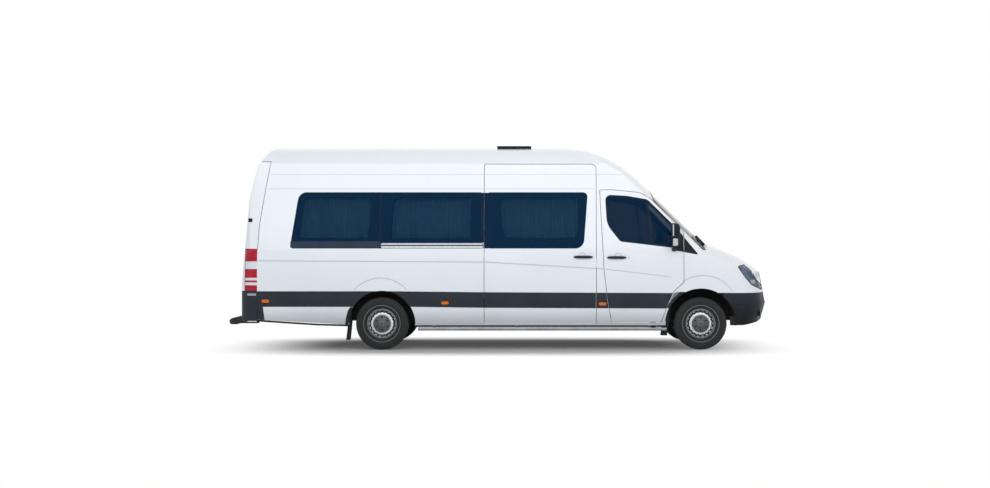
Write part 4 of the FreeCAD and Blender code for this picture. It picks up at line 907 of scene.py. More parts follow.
for hand, side in SIDES.items():
    door_body = f"front_door_{hand}"
    strips = [strip(hand, falling((BUMPER_SEAM_X, STRIP_LOW)) + arc(ARCH_REAR, TRIM_R_REAR, 149.2, 102.1, 14)
                    + falling((BUMPER_SEAM_X, STRIP_TOP)))]
    middle = arc(ARCH_REAR, TRIM_R_REAR, 77.9, 30.8, 14)
    ahead = falling((1.469, STRIP_LOW), (1.4445, STRIP_BEND), (1.437, STRIP_TOP))
    if hand == "right":
        strips.append(strip(hand, middle + falling((-0.222, STRIP_LOW), (-0.222, STRIP_TOP))))
        strips.append(strip(hand, falling((-0.215, STRIP_LOW), (1.2965, STRIP_LOW), (1.2965, STRIP_TOP),
                                          (-0.215, STRIP_TOP))))
        strips.append(strip(hand, falling((1.3035, STRIP_LOW)) + ahead + falling((1.3035, STRIP_TOP))))
    else:
        strips.append(strip(hand, middle + ahead))
    add(f"rub_strip_{hand}", strips, SLATE)
    # the strip on the wing takes the paler slate, its painted reflection
    wing = falling((2.349, STRIP_TOP), (2.344, 0.788), (2.268, 0.612), (2.260, STRIP_LOW))
    add(f"rub_strip_wing_{hand}", [plate(hand, arc(ARCH_FRONT, 0.518, 155, 121, 10) + wing, 0.012, 0.004)], SLATE_PAINTED_REFLECTION)
    arch_band = arc(ARCH_FRONT, TRIM_R_FRONT, 155, 117, 12) + arc(ARCH_FRONT, 0.515, 119, 154, 12)
    add(f"rub_strip_arch_{hand}", [plate(hand, arch_band, 0.013, 0.005)], SLATE)
    add(f"rub_strip_door_{hand}", [strip(hand, falling(
        (1.4775, STRIP_LOW), (2.249, STRIP_LOW), (2.256, 0.610), (2.333, 0.780), (2.339, STRIP_TOP),
        (1.4455, STRIP_TOP), (1.4525, STRIP_BEND)))], SLATE, door_body)

    # dark beads round the wheel openings below the strip, and the flap's flange behind the rear one
    def bead(centre, radius, first, last):
        line = arc(centre, radius + 0.002, first, last, 18)
        return rod([lay(hand, u, v, surface(hand, *along(centre, radius + 0.008, u, v)) - 0.003) for u, v in line],
                   0.0065, 8)

    add(f"arch_beads_{hand}", [bead(ARCH_REAR, 0.447, 178, 101), bead(ARCH_REAR, 0.447, 79, -1),
                               bead(ARCH_FRONT, 0.478, 176, 116)], UNDERSEAL)
    add(f"flap_flange_{hand}", [plate(hand, arc(ARCH_REAR, TRIM_R_REAR, 150, 182.4, 10) + [
        (-2.104, 0.346), (-2.090, 0.44), (-2.066, 0.53), (-2.030, 0.583)], 0.004, 0.004)], UNDERSEAL)

    flares = [
        plate(hand, arc(FLARE_REAR, FLARE_R, 140, 40, 30) + arc(ARCH_REAR, TRIM_R_REAR, 79.2, 100.8, 8),
              beyond_arch(ARCH_REAR, TRIM_R_REAR, 0.021), 0.005),
        plate(hand, [(2.358, 0.795), (2.492, 0.920)] + arc(FLARE_FRONT, FLARE_R, 121.6, 31.7, 28)
              + arc(ARCH_FRONT, TRIM_R_FRONT, 61.4, 116.6, 14),
              beyond_arch(ARCH_FRONT, TRIM_R_FRONT, 0.018), 0.005),
    ]
    add(f"arch_flares_{hand}", flares, PAINT)
    # painted shade: a darker ribbon along the top edge of each flare
    edges = [ribbon(hand, arc(FLARE_REAR, FLARE_EDGE_R, 137, 43, 30), 0.007, 0.0045),
             ribbon(hand, arc(FLARE_FRONT, FLARE_EDGE_R, 121, 34, 28), 0.007, 0.0045)]
    add(f"flare_edge_shade_{hand}", edges, CREASE_SHADE)

    # pressed lines along the panels, broken at the seams: low ridges in painted crease shade
    def pressed(*runs, half=0.008):
        return [ribbon(hand, run, half, 0.0035) for run in runs]

    if hand == "right":
        lines = pressed([(-3.27, 1.210), (-0.226, 1.192)], [(-0.205, 1.192), (1.290, 1.106)],
                        [(1.307, 1.105), (1.398, 1.099)])
        lines += pressed([(-3.135, 2.384), (-0.226, 2.384)], [(-0.205, 2.384), (1.290, 2.384)],
                         [(1.309, 2.384), (1.66, 2.384)], half=0.006)
        lines += pressed([(-3.160, 2.188), (-0.226, 2.188)], [(-0.205, 2.188), (1.290, 2.188)], half=0.006)
    else:
        lines = pressed([(-3.27, 1.210), (-0.226, 1.192), (1.297, 1.106), (1.398, 1.099)])
        lines += pressed([(-3.135, 2.384), (1.3, 2.384), (1.66, 2.384)], [(-3.160, 2.188), (1.290, 2.188)], half=0.006)
    add(f"pressed_lines_{hand}", lines, CREASE_SHADE)
    line = pressed([(1.42, 1.098), (2.10, 1.018), (2.32, 0.99)], half=0.006)
    add(f"pressed_line_door_{hand}", line, CREASE_SHADE, door_body)

    # trim on the glass: lower band, pane seam and the door window's bar
    band = [plate(hand, oblong(-2.845, 1.385, -1.633, 1.474, 0.012), 0.004, 0.004)]
    if hand == "right":
        add("slide_rail", [
            plate(hand, [(-1.621, 1.426), (-0.245, 1.426), (-0.226, 1.448), (-1.606, 1.448)], 0.016, 0.005),
            plate(hand, [(-1.606, 1.381), (-0.245, 1.381), (-0.226, 1.410), (-1.621, 1.410)], 0.016, 0.005),
        ], RAIL_FACE)
        band.append(plate(hand, [(-1.621, 1.378), (-0.226, 1.378), (-0.226, 1.453), (-1.621, 1.453)], 0.003, 0.003))
    else:
        band.append(plate(hand, [(-1.621, 1.385), (1.06, 1.385), (1.06, 1.43), (-1.621, 1.43)], 0.004, 0.004))
    add(f"glass_band_{hand}", band, BAND)
    seam = oblong(-1.632, 1.40, -1.622, 2.12, 0.002)
    add(f"pane_seam_{hand}", [plate(hand, seam, 0.0025, 0.002)], BLACK, slot="rubber")
    if hand == "right":
        edges = ([(-0.280, 1.456), (-0.2225, 1.456), (-0.2225, 2.134), (-0.280, 2.134)],
                 [(-0.2145, 1.378), (-0.090, 1.378), (-0.090, 2.134), (-0.2145, 2.134)])
        add("pane_edges", [plate(hand, edge, 0.006, 0.004) for edge in edges], PANE_EDGE)
    bar = [(1.988, 2.004), (2.008, 2.004), (2.076, 1.437), (2.056, 1.437)]
    add(f"window_bar_{hand}", [plate(hand, bar, 0.005, 0.004)], BLACK, door_body)
    corner = [(2.405, 1.640, 0.01), (2.379, 1.349, 0.01), (2.483, 1.330), (2.483, 1.541)]
    add(f"corner_trim_door_{hand}", [plate(hand, corner, 0.010, 0.006)], BLACK, door_body)
    corner = [(2.494, 1.528), (2.494, 1.328), (2.690, 1.290, 0.01)]
    add(f"corner_trim_wing_{hand}", [plate(hand, corner, 0.006, 0.006)], BLACK)

    # dark flange under the painted sill, and the bumper's return along the side
    def flange(*line):
        return rod([lay(hand, u, v - 0.013, surface(hand, u, v + 0.012) - 0.014) for u, v in line], 0.0125, 10)

    add(f"sill_flange_{hand}", [
        flange((-3.285, 0.410), (-2.88, 0.382), (-2.48, 0.3565), (-2.085, 0.345), (-2.052, 0.336)),
        flange((-1.157, 0.335), (-0.6, 0.335), (0.2, 0.335), (1.2, 0.335), (2.238, 0.335)),
    ], UNDERSEAL)
    back = [(-3.292, 0.413), (-3.195, 0.407), (-3.214, STRIP_LOW - 0.001), (-3.292, STRIP_LOW - 0.001)]
    add(f"bumper_return_{hand}", [plate(hand, back, 0.006, 0.004)], SLATE)
    out_y = side * (surface(hand, -3.28, 0.60) - 0.002)
    joint = [(BUMPER_SEAM_X, out_y - side * 0.012, 0.425), (BUMPER_SEAM_X, out_y, 0.60), (BUMPER_SEAM_X, out_y, 0.792)]
    add(f"bumper_joint_{hand}", [rod(joint, 0.0065, 8)], SLATE, slot="rubber")

    # foot of the front wheel housing, behind the bumper
    foot = arc(ARCH_FRONT, 0.400, -3, 13, 6) + arc(ARCH_FRONT, 0.486, 13, -3, 6)
    foot = layered(foot, [(0.925, 0.004), (0.928, 0.0), (0.952, 0.0), (0.955, 0.004)], from_right)
    add(f"housing_foot_{hand}", [on_side(hand, foot)], UNDERSEAL)

    # markers along the strip, and the reflector at the bumper's corner
    markers = []
    for x, z in ((-3.178, 0.664), (-0.747, 0.650), (1.387, 0.645)):
        markers.append(plate(hand, falling(*oblong(x - 0.050, z - 0.021, x + 0.050, z + 0.021, 0.0195)), 0.021, 0.005))
    add(f"side_markers_{hand}", markers, ORANGE)
    corner = oblong(-3.425, 0.738, -3.303, 0.768, 0.006)
    add(f"corner_reflector_{hand}", [plate(hand, corner, 0.010, 0.007, grid=0.0152)], REFLECTOR)


# ------------------------------------------------------------------ seals round the glass
def seal(name, node, way, body="chassis", radius=0.0045):
    """Rubber round the outlines of a node's faces that look along way."""
    add(name, [rod(loop, radius, 8, True) for loop in outlines(node, Vector(way).normalized())], RUBBER, body)


for hand, side in SIDES.items():
    seal(f"window_seals_{hand}", "side_windows", (0, side, 0))
    seal(f"door_window_seal_{hand}", f"door_glass_{hand}", (0, side, 0), f"front_door_{hand}")
    seal(f"rear_window_seal_{hand}", f"rear_glass_{hand}", (-1, 0, 0), f"back_door_{hand}", 0.006)
seal("windscreen_seal", "windscreen", (0.69, 0, 0.72), radius=0.008)


# ------------------------------------------------------------------ door handles
def handle(view, u0, u1, v, thick=0.019, reach=0.030):
    """Pull bar on two feet, standing off the door."""
    middle = (u0 + u1) / 2
    depth = surface(view, middle, v) + reach
    tilt = surface(view, u1, v) - surface(view, u0, v)

    def put(a, b, c):
        return lay(view, middle + a, v + b, depth + c + tilt * a / (u1 - u0))

    rings = []
    for share in [math.cos(math.pi * k / 24) for k in range(1, 24)]:
        size = (1 - abs(share) ** 3.5) ** 0.45
        bow = -0.006 * share * share
        rings.append([put((u1 - u0) / 2 * share, math.sin(t) * thick * size, math.cos(t) * 0.009 * size + bow)
                      for t in turns(16)])
    feet = []
    for share in (-0.8, 0.8):
        at = (u1 - u0) / 2 * share
        feet.append(loft([[put(at + math.cos(t) * wide, math.sin(t) * wide * 0.7, -out) for t in turns(16)]
                          for out, wide in ((0.004, 0.013), (0.018, 0.014), (0.030, 0.019), (0.036, 0.020))]))
    return [loft(rings)] + feet


def cup_shade(view, u, v):
    """Painted shade round the rim of the finger cup behind a handle, widest at its top."""
    outer, inner = arc((u, v), 0.056, -60, 240, 40), arc((u, v - 0.004), 0.048, 240, -60, 40)
    return plate(view, outer + inner, 0.002, 0.002, 0.3, 0.002, 0.15)


def lock(view, u, v, radius):
    """Round lock face."""
    rim = radius + 0.002
    return lamp_ring(view, u, v, [(0.0, 0.004), (radius, 0.004), (rim, 0.001), (rim, -0.004), (0.0, -0.004)], 24)


for hand in SIDES:
    add(f"front_handle_{hand}", handle(hand, 1.445, 1.709, 1.2545), SLATE, f"front_door_{hand}")
    add(f"handle_cup_shade_{hand}", [cup_shade(hand, 1.598, 1.262)], CREASE_SHADE, f"front_door_{hand}")
    add(f"door_lock_{hand}", [lock(hand, 1.742, 1.2545, 0.011)], RAIL, f"front_door_{hand}")
add("slider_handle", handle("right", 0.992, 1.256, 1.2615), SLATE)
add("slider_handle_cup", [cup_shade("right", 1.110, 1.269)], CREASE_SHADE)


# ------------------------------------------------------------------ mirrors
def mirror_parts():
    """Housing, two glasses, indicator and arm of the right-hand mirror, mirrored for the left."""
    def put(y, z, x):
        return Vector((x, -y, z))

    shell = layered([(1.030, 1.386, 0.045), (1.2105, 1.402, 0.055), (1.204, 1.719, 0.060), (1.024, 1.714, 0.050)],
                    [(2.3062, 0.010), (2.3062, 0.002), (2.312, 0.0), (2.345, 0.0), (2.375, 0.003), (2.395, 0.010),
                     (2.409, 0.024), (2.417, 0.045), (2.4195, 0.070)], put)
    rim = layered([(1.042, 1.502, 0.020), (1.196, 1.506, 0.020), (1.192, 1.702, 0.045), (1.038, 1.698, 0.040)],
                  [(2.3056, 0.004), (2.3056, 0.0), (2.310, 0.0)], put)
    low = layered([(1.046, 1.402, 0.030), (1.196, 1.414, 0.035), (1.196, 1.488, 0.016), (1.042, 1.484, 0.016)],
                  [(2.3056, 0.004), (2.3056, 0.0), (2.310, 0.0)], put)

    arm = loft([[Vector((x + math.cos(t) * wide, -y, z + math.sin(t) * tall)) for t in turns(20)]
                for x, y, z, wide, tall in ((2.356, 1.085, 1.400, 0.024, 0.022), (2.356, 1.050, 1.385, 0.028, 0.026),
                                            (2.356, 1.010, 1.370, 0.032, 0.028), (2.356, 0.984, 1.366, 0.036, 0.032),
                                            (2.366, 0.962, 1.366, 0.046, 0.040))])
    lens = layered([(2.315, 1.408, 0.016), (2.384, 1.420, 0.012), (2.380, 1.508, 0.012), (2.318, 1.512, 0.016)],
                   [(1.195, 0.0), (1.2095, 0.0), (1.2118, 0.004)], from_right)
    # painted highlight: a pale strip on the housing's side, for the light caught by the glass's edge
    edge = layered(oblong(2.3135, 1.545, 2.329, 1.700, 0.006), [(1.195, 0.0), (1.2100, 0.0), (1.2116, 0.003)],
                   from_right)
    return shell, rim, low, arm, lens, edge


for hand in SIDES:
    shell, rim, low, arm, lens, edge = (on_side(hand, shape) for shape in mirror_parts())
    body = f"front_door_{hand}"
    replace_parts(add(f"mirror_housing_{hand}", [shell, arm], BLACK, body, smooth=40), f"mirror_{hand}")
    # pale strip: painted highlight at the glass's edge
    add(f"mirror_edge_highlight_{hand}", [edge], RAIL_FACE, body)
    add(f"mirror_glass_{hand}", [rim, low], MIRROR, body)
    add(f"mirror_indicator_{hand}", [lens], PALE_LENS, body)


# ------------------------------------------------------------------ wheels
WHEEL_Y, CAP_REACH, CAP_FLATTENED = 0.852, 0.090, 0.45
TREAD_PITCHES, RIM_OPENINGS, NUTS, CAP_SLITS = 66, 18, 6, 6
OPENING_FOOT, DISC_LEAN = 0.152, 0.208  # how far from the axle an opening starts, and the disc's slope there


def tread_blocks():
    """One pitch of the tread: five blocks across, tapered, with the outer ones over the shoulder."""
    shapes = []
    half_length, root = 0.0125, 0.3415
    for row, (y, half, top) in enumerate(((-0.086, 0.013, 0.3515), (-0.048, 0.019, 0.3544), (0.0, 0.021, 0.3550),
                                          (0.048, 0.019, 0.3544), (0.086, 0.013, 0.3515))):
        lead = 0.006 if row % 2 else -0.004
        points = []
        for z, grow in ((root, 1.12), (top, 1.0)):
            for dx, dy in ((-1, -1), (1, -1), (1, 1), (-1, 1)):
                skew = 0.004 * dy * (1 if y >= 0 else -1)
                points.append(Vector((lead + dx * half_length * grow + skew, y + dy * half * grow, z)))
        faces = [[3, 2, 1, 0], [4, 5, 6, 7]] + [[k, (k + 1) % 4, (k + 1) % 4 + 4, k + 4] for k in range(4)]
        shapes.append((points, faces))
    return shapes


# (radius, distance from the wheel's middle) from the bead out to the crown, and then the whole tyre
SIDEWALL = [(0.2036, 0.089), (0.2105, 0.099), (0.2190, 0.1035), (0.2300, 0.1065), (0.2435, 0.1085), (0.2460, 0.1112),
            (0.2505, 0.1112), (0.2530, 0.1100), (0.2700, 0.1150), (0.2900, 0.1168), (0.3080, 0.1160), (0.3250, 0.1120),
            (0.3370, 0.1050), (0.3440, 0.0960), (0.3480, 0.0820), (0.3495, 0.0500)]
CARCASS = [(r, -out) for r, out in SIDEWALL] + SIDEWALL[::-1]
CAP = [(0.0, 0.090), (0.0, 0.128), (0.018, 0.128), (0.026, 0.1235), (0.046, 0.1225), (0.052, 0.116), (0.098, 0.109),
       (0.108, 0.107), (0.116, 0.100), (0.119, 0.090)]

for end, axle_x in (("front", FRONT_AXLE_X), ("rear", REAR_AXLE_X)):
    for hand, side in SIDES.items():
        body, ending = f"wheel_{end}_{hand}", f"{end}_{hand}"
        centre = (axle_x, side * WHEEL_Y, TYRE_R)

        def ring(profile, steps):
            return [turned(profile, *centre, side, steps)]

        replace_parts(add(f"tyre_carcass_{ending}", ring(CARCASS, 144), TYRE, body), f"tyre_{ending}")
        repeat(f"tyre_tread_{ending}", tread_blocks(), TYRE, body, TREAD_PITCHES, centre, 2 * math.pi / TREAD_PITCHES)
        cap = [(r, CAP_REACH + (out - CAP_REACH) * CAP_FLATTENED) for r, out in CAP]
        add(f"wheel_cap_{ending}", ring(cap, 96), GREY_CAP, body)
        slit = on_side(hand, block((-0.009, -0.1015, 0.068), (0.009, -0.090, 0.102), 0.005))
        repeat(f"cap_slots_{ending}", [slit], BLACK, body, CAP_SLITS, centre, 2 * math.pi / CAP_SLITS)
        carrier = f"steer_{hand}" if end == "front" else "chassis"
        shield = [(0.062, 0.004), (0.062, 0.010), (0.120, 0.012), (0.160, 0.010), (0.172, 0.004)]
        add(f"brake_shield_{ending}", ring(shield, 72), UNDERSEAL, carrier, slot="chassis_steel")
        # painted shade: dark insets on the disc stand for the shade seen inside each opening
        dark = on_side(hand, layered(oblong(-0.0165, OPENING_FOOT, 0.0165, 0.181, 0.0135),
                                     [(-0.048, 0.0), (-0.0575, 0.0), (-0.0585, 0.001)],
                                     lambda x, z, y: Vector((x, y + (z - OPENING_FOOT) * DISC_LEAN, z))))
        repeat(f"rim_openings_{ending}", [dark], UNDERSEAL, body, RIM_OPENINGS, centre, 2 * math.pi / RIM_OPENINGS,
               slot="chassis_steel")
        hub = [(0.024, 0.1015), (0.028, 0.1085), (0.032, 0.1085), (0.035, 0.1015)]
        add(f"hub_ring_{ending}", ring(hub + hub[:1], 48), TRIM_GREY, body)
        valve = [Vector((axle_x + dx, side * (WHEEL_Y + out), TYRE_R))
                 for dx, out in ((0.178, 0.040), (0.171, 0.062), (0.166, 0.076))]
        add(f"tyre_valve_{ending}", [rod(valve, 0.0042, 10)], RUBBER, body)
        nut = on_side(hand, turned([(0.0, 0.058), (0.013, 0.058), (0.013, 0.074), (0.010, 0.079), (0.0, 0.080)],
                                   0.105, 0, 0, -1, 6))
        repeat(f"wheel_nuts_{ending}", [nut], STEEL, body, NUTS, centre, 2 * math.pi / NUTS)


# ------------------------------------------------------------------ lamps at the front
LENS_FACES = 0.35  # how nearly a face has to look that way to be part of the lens


def lens_way(side):
    """The way that a headlamp's lens looks, on a side."""
    return Vector((0.8, 0.5 * side, 0.35)).normalized()


def split_lamp(node):
    """A node's outer skin, and the rest of its faces, as two sheets of faces."""
    sheets = []
    for outer in (True, False):
        bm = bmesh.new()
        bm.from_mesh(NODES[node].data)
        bmesh.ops.remove_doubles(bm, verts=bm.verts[:], dist=WELD)
        away = []
        for face in bm.faces:
            side = 1 if face.calc_center_median().y > 0 else -1
            if (face.normal.dot(lens_way(side)) > LENS_FACES) != outer:
                away.append(face)
        bmesh.ops.delete(bm, geom=away, context="FACES")
        sheets.append(bm)
    return sheets


def walled(name, bm, thick, finish):
    """Gives a sheet of faces a wall, inwards, and files it as a piece."""
    data = bpy.data.meshes.new(name)
    bm.to_mesh(data)
    bm.free()
    holder = bpy.data.objects.new(name + "_sheet", data)
    bpy.context.scene.collection.objects.link(holder)
    wall = holder.modifiers.new("Wall", "SOLIDIFY")
    wall.thickness = thick
    wall.offset = -1
    graph = bpy.context.evaluated_depsgraph_get()
    solid = bpy.data.meshes.new_from_object(holder.evaluated_get(graph))
    holder.modifiers.clear()
    bpy.data.objects.remove(holder)
    solid.name = name
    return link(name, solid, finish)


lens_sheet, back_sheet = split_lamp("headlights")
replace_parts(walled("headlamp_lenses", lens_sheet, 0.003, LAMP_LENS), "headlights")
walled("headlamp_bowls", back_sheet, -0.0015, LAMP_BOWL_PAINTED_REFLECTION)
BOWL = [(0.0, -0.030), (0.022, -0.028), (0.042, -0.020), (0.056, -0.010), (0.060, -0.010), (0.046, -0.024),
        (0.024, -0.0325), (0.0, -0.034)]
BULB = [(0.0, -0.010), (0.007, -0.011), (0.011, -0.016), (0.011, -0.027), (0.0, -0.028)]
for hand, side in SIDES.items():
    bowls, bulbs = [], []
    for y, z, size in ((0.60, 0.985, 0.92), (0.745, 1.005, 1.0), (0.865, 1.030, 0.62)):
        bowls.append(lamp_ring("front", side * y, z, [(r * size, out) for r, out in BOWL]))
        bulbs.append(lamp_ring("front", side * y, z, BULB, 24))
    add(f"headlamp_reflectors_{hand}", bowls, CHROME)
    add(f"headlamp_bulbs_{hand}", bulbs, PLATE_FACE, slot="clear_lens")
    y = side * 0.885
    add(f"front_indicator_{hand}", [plate("front", oblong(y - 0.03, 0.90, y + 0.03, 0.95, 0.01), -0.008, 0.003,
                                          sink=0.018)], REFLECTOR)
    rings = [loop for loop in outlines("headlights", lens_way(side)) if loop[0].y * side > 0]
    add(f"headlamp_seal_{hand}", [rod(loop, 0.006, 8, True) for loop in rings], RUBBER)

add("grille_slats", [plate("front", oblong(-0.440, z, 0.440, z + 0.024, 0.008), 0.007, 0.006, 0.25)
                     for z in [0.815 + 0.042 * k for k in range(5)]], SLATE)
add("grille_frame", [ribbon("front", [(-0.452, 1.028), (0.452, 1.028)], 0.008, 0.010),
                     ribbon("front", [(-0.452, 0.803), (0.452, 0.803)], 0.007, 0.009)], SLATE)
intake = [plate("front", oblong(-0.40, 0.398, 0.40, 0.432, 0.012), 0.003, 0.004, 0.2)]
for y in (-0.74, 0.74):
    intake.append(plate("front", oblong(y - 0.10, 0.425, y + 0.10, 0.555, 0.03), 0.004, 0.008, 0.2))
add("bumper_intakes", intake, BLACK)
add("bumper_intake_bars", [ribbon("front", [(-0.39, z), (0.39, z)], 0.0025, 0.006) for z in (0.407, 0.415, 0.423)],
    SLATE)
FOG = [(0.0, 0.008), (0.026, 0.0075), (0.036, 0.004), (0.040, 0.009), (0.046, 0.009), (0.048, 0.0), (0.0, 0.0)]
add("fog_lamps", [lamp_ring("front", side * 0.76, 0.490, FOG) for side in SIDES.values()], LAMP_BOWL_PAINTED_REFLECTION)
add("front_plate", [plate("front", oblong(-0.260, 0.455, 0.260, 0.560, 0.008), 0.0045, 0.002, 0.7)], PLATE_FACE)
for hand in SIDES:
    add(f"bumper_crease_{hand}", [ribbon(hand, [(3.205, 0.583), (3.52, 0.580)], 0.005, 0.003)], SLATE)

# ------------------------------------------------------------------ rear
for name, outline, lift, finish in (("rear_plate", oblong(0.09, 0.985, 0.60, 1.095, 0.008), 0.006, PLATE_FACE),
                                    ("rear_plate_frame", oblong(0.07, 0.965, 0.62, 1.115, 0.014), 0.003, BLACK)):
    add(name, [plate("rear", outline, lift, 0.003, 0.7)], finish, "back_door_left")
add("rear_plate_lamps", [plate("rear", oblong(0.16 + 0.28 * k, 1.130, 0.25 + 0.28 * k, 1.152, 0.006), 0.012, 0.004)
                         for k in range(2)], BLACK, "back_door_left")
add("rear_handle", handle("rear", -0.215, -0.035, 1.16, 0.017, 0.026), SLATE, "back_door_right")
add("rear_lock", [lock("rear", -0.245, 1.16, 0.010)], RAIL, "back_door_right")
add("high_brake_lamp", [plate("rear", oblong(-0.16, 2.600, 0.16, 2.628, 0.008), 0.010, 0.005)], RED_LAMP)
for hand, side in SIDES.items():
    creases = [ribbon("rear", [(side * 0.08, z), (side * 0.84, z)], 0.007, 0.0035) for z in (0.86, 1.245)]
    add(f"rear_pressed_lines_{hand}", creases, PAINT, f"back_door_{hand}")
    add(f"rear_hinge_cover_{hand}", [plate(hand, oblong(-3.425, 1.735, -3.365, 1.785, 0.012), 0.012, 0.008)],
        BLACK, f"back_door_{hand}")
add("rear_step_stays", [on_side(hand, block((-3.44, -0.86, 0.386), (-3.27, -0.80, 0.424), 0.006)) for hand in SIDES],
    SLATE)
RIDGE = block((-0.001, -0.004, -0.001), (0.060, 0.004, 0.0035), 0.0008)
RIDGES, RIDGE_PITCH = 44, 0.031
repeat("rear_step_ribs", [RIDGE], RUBBER, "chassis", RIDGES, (-3.700, -0.665, 0.4148), step=(0, RIDGE_PITCH, 0))

# ------------------------------------------------------------------ roof
RIB_REAR_X, RIB_FRONT_X, BEHIND_HATCH_X, AHEAD_OF_HATCH_X = -2.75, 1.35, -0.28, 0.62
ribs = []
for y in (-0.54, -0.36, -0.18, 0.18, 0.36, 0.54):
    beside_hatch = abs(y) > 0.3
    runs = [(RIB_REAR_X if beside_hatch else AHEAD_OF_HATCH_X, RIB_FRONT_X)]
    if not beside_hatch:
        runs.append((RIB_REAR_X, BEHIND_HATCH_X))
    ribs += [ribbon("top", [(x0, y), (x1, y)], 0.022, 0.006) for x0, x1 in runs]
add("roof_ribs", ribs, PAINT)
low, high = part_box("hatch_lid")
add("hatch_lid_ribs", [block((low.x + 0.06, y - 0.012, high.z - 0.006),
                             (high.x - 0.06, y + 0.012, high.z - 0.0004), 0.002)
                       for y in (-0.15, -0.05, 0.05, 0.15)], BLACK, "hatch")

# ------------------------------------------------------------------ seats
SEAT_FOOT_Z, LEG_REACH, SEAT_GAP = 0.6404, 0.56, 0.003
SEWN_HALF = 0.07  # a sewn channel's half width, as a share of the pad's
CUSHION_SEWN = [(0, -0.45, 0.007), (0, 0.1, 0.007), (0, 0.6, 0.007), (1, -0.62, 0.006), (1, 0.62, 0.006)]
BACK_SEWN = [(2, at, 0.006) for at in (-0.6, -0.2, 0.2, 0.6)] + [(1, -0.6, 0.005), (1, 0.6, 0.005)]


def pad(low, high, face, cuts, crown, channels=(), lean=0.0):
    """Stuffed pad in a box: crowned across face, its sides drawn in between the corners.

    Each sewn channel is (the axis it lies across, where along it from -1 to 1, depth); lean is per metre of height.
    """
    low, high = Vector(low), Vector(high)
    middle, half = (low + high) / 2, (high - low) / 2
    others = [k for k in range(3) if k != face]
    bm = bmesh.new()
    bmesh.ops.create_cube(bm, size=2)
    bmesh.ops.subdivide_edges(bm, edges=bm.edges[:], cuts=cuts, use_grid_fill=True)
    radius = min(half) * 0.7
    out = []
    for vert in bm.verts:
        p = Vector(math.sin(c * math.pi / 2) for c in vert.co)
        q = Vector(p[k] * half[k] for k in range(3))
        core = Vector(max(-(half[k] - radius), min(half[k] - radius, q[k])) for k in range(3))
        if (q - core).length > 1e-6:
            q = core + (q - core).normalized() * radius
        a, b = p[others[0]], p[others[1]]
        q[face] *= 1 - crown * (a ** 4 + b ** 4) / 2
        q[others[0]] *= 1 - 0.035 * (1 - b * b)
        q[others[1]] *= 1 - 0.025 * (1 - a * a)
        if p[face] > 0.3:
            for axis, at, depth in channels:
                q[face] -= depth * math.exp(-((p[axis] - at) / SEWN_HALF) ** 2)
        q += middle
        q.x += lean * (q.z - low.z)
        out.append(q)
    faces = faces_of(bm)
    bm.free()
    return out, faces


def seat_places(node):
    """Foot and middle of each seat in a node, from its loose parts' boxes."""
    bm = bmesh.new()
    bm.from_mesh(NODES[node].data)
    bmesh.ops.remove_doubles(bm, verts=bm.verts[:], dist=WELD)
    waiting = set(bm.verts)
    places = []
    while waiting:
        stack, part = [waiting.pop()], []
        while stack:
            vert = stack.pop()
            part.append(vert.co)
            for edge in vert.link_edges:
                other = edge.other_vert(vert)
                if other in waiting:
                    waiting.discard(other)
                    stack.append(other)
        lo = [min(c[k] for c in part) for k in range(3)]
        hi = [max(c[k] for c in part) for k in range(3)]
        places.append((lo[0] + 0.1, lo[1], hi[1], hi[2]))
    bm.free()
    return sorted(places)


def dress_seats(row, node, cushion_z, cuts):
    """Cushion, backrest, headrest, back shell, frame and welts of each seat in a node."""
    cushions, backs, rests, frames, shells, welts = [], [], [], [], [], []
    for x, y0, y1, top in seat_places(node):
        y0, y1 = y0 + SEAT_GAP, y1 - SEAT_GAP
        middle = (y0 + y1) / 2
        cushions.append(pad((x + 0.02, y0, cushion_z - 0.108), (x + 0.485, y1, cushion_z + 0.008),
                            2, cuts, 0.16, CUSHION_SEWN))
        backs.append(pad((x - 0.045, y0, cushion_z - 0.02), (x + 0.078, y1, top - 0.155),
                         0, cuts, 0.20, BACK_SEWN, -0.115))
        rests.append(pad((x - 0.092, middle - 0.130, top - 0.150), (x - 0.012, middle + 0.130, top - 0.004),
                         0, cuts, 0.25, [(1, 0.0, 0.003)]))
        shells.append(pad((x - 0.075, y0 + 0.01, cushion_z - 0.10), (x - 0.035, y1 - 0.01, top - 0.175),
                          0, 6, 0.1, lean=-0.045))
        for y in (middle - 0.06, middle + 0.06):
            frames.append(rod([(x - 0.050, y, top - 0.20), (x - 0.052, y, top - 0.12)], 0.006, 10))
        leg = max(-LEG_REACH, min(LEG_REACH, middle))
        for dx in (0.06, 0.36):
            for dy in (-0.055, 0.055):
                frames.append(rod([(x + dx, leg + dy, SEAT_FOOT_Z), (x + dx, leg + dy, cushion_z - 0.12)], 0.014, 12))
            frames.append(block((x + dx - 0.016, y0 + 0.02, cushion_z - 0.130),
                                (x + dx + 0.016, y1 - 0.02, cushion_z - 0.104), 0.004))
        for dy in (-0.07, 0.04):
            frames.append(block((x + 0.03, leg + dy, SEAT_FOOT_Z), (x + 0.39, leg + dy + 0.03, 0.652), 0.002))
        for y in (y0 + 0.006, y1 - 0.006):
            welts.append(rod([(x + 0.05 + 0.04 * k, y, cushion_z - 0.040 + 0.012 * math.sin(k / 3)) for k in range(11)],
                             0.003, 6))
    cushion, back, rest = (add(f"{row}_{name}", pads, SEAT_CLOTH, smooth=60)
                           for name, pads in (("cushions", cushions), ("backrests", backs), ("headrests", rests)))
    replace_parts(cushion, node)
    add(f"{row}_back_shells", shells, DASH)
    add(f"{row}_frames", frames, FRAME_PAINT)
    add(f"{row}_welts", welts, RUBBER, slot="seat_cloth")


dress_seats("passenger_seat", "passenger_seats", 1.060, 9)
dress_seats("cab_seat", "front_seats", 1.050, 14)


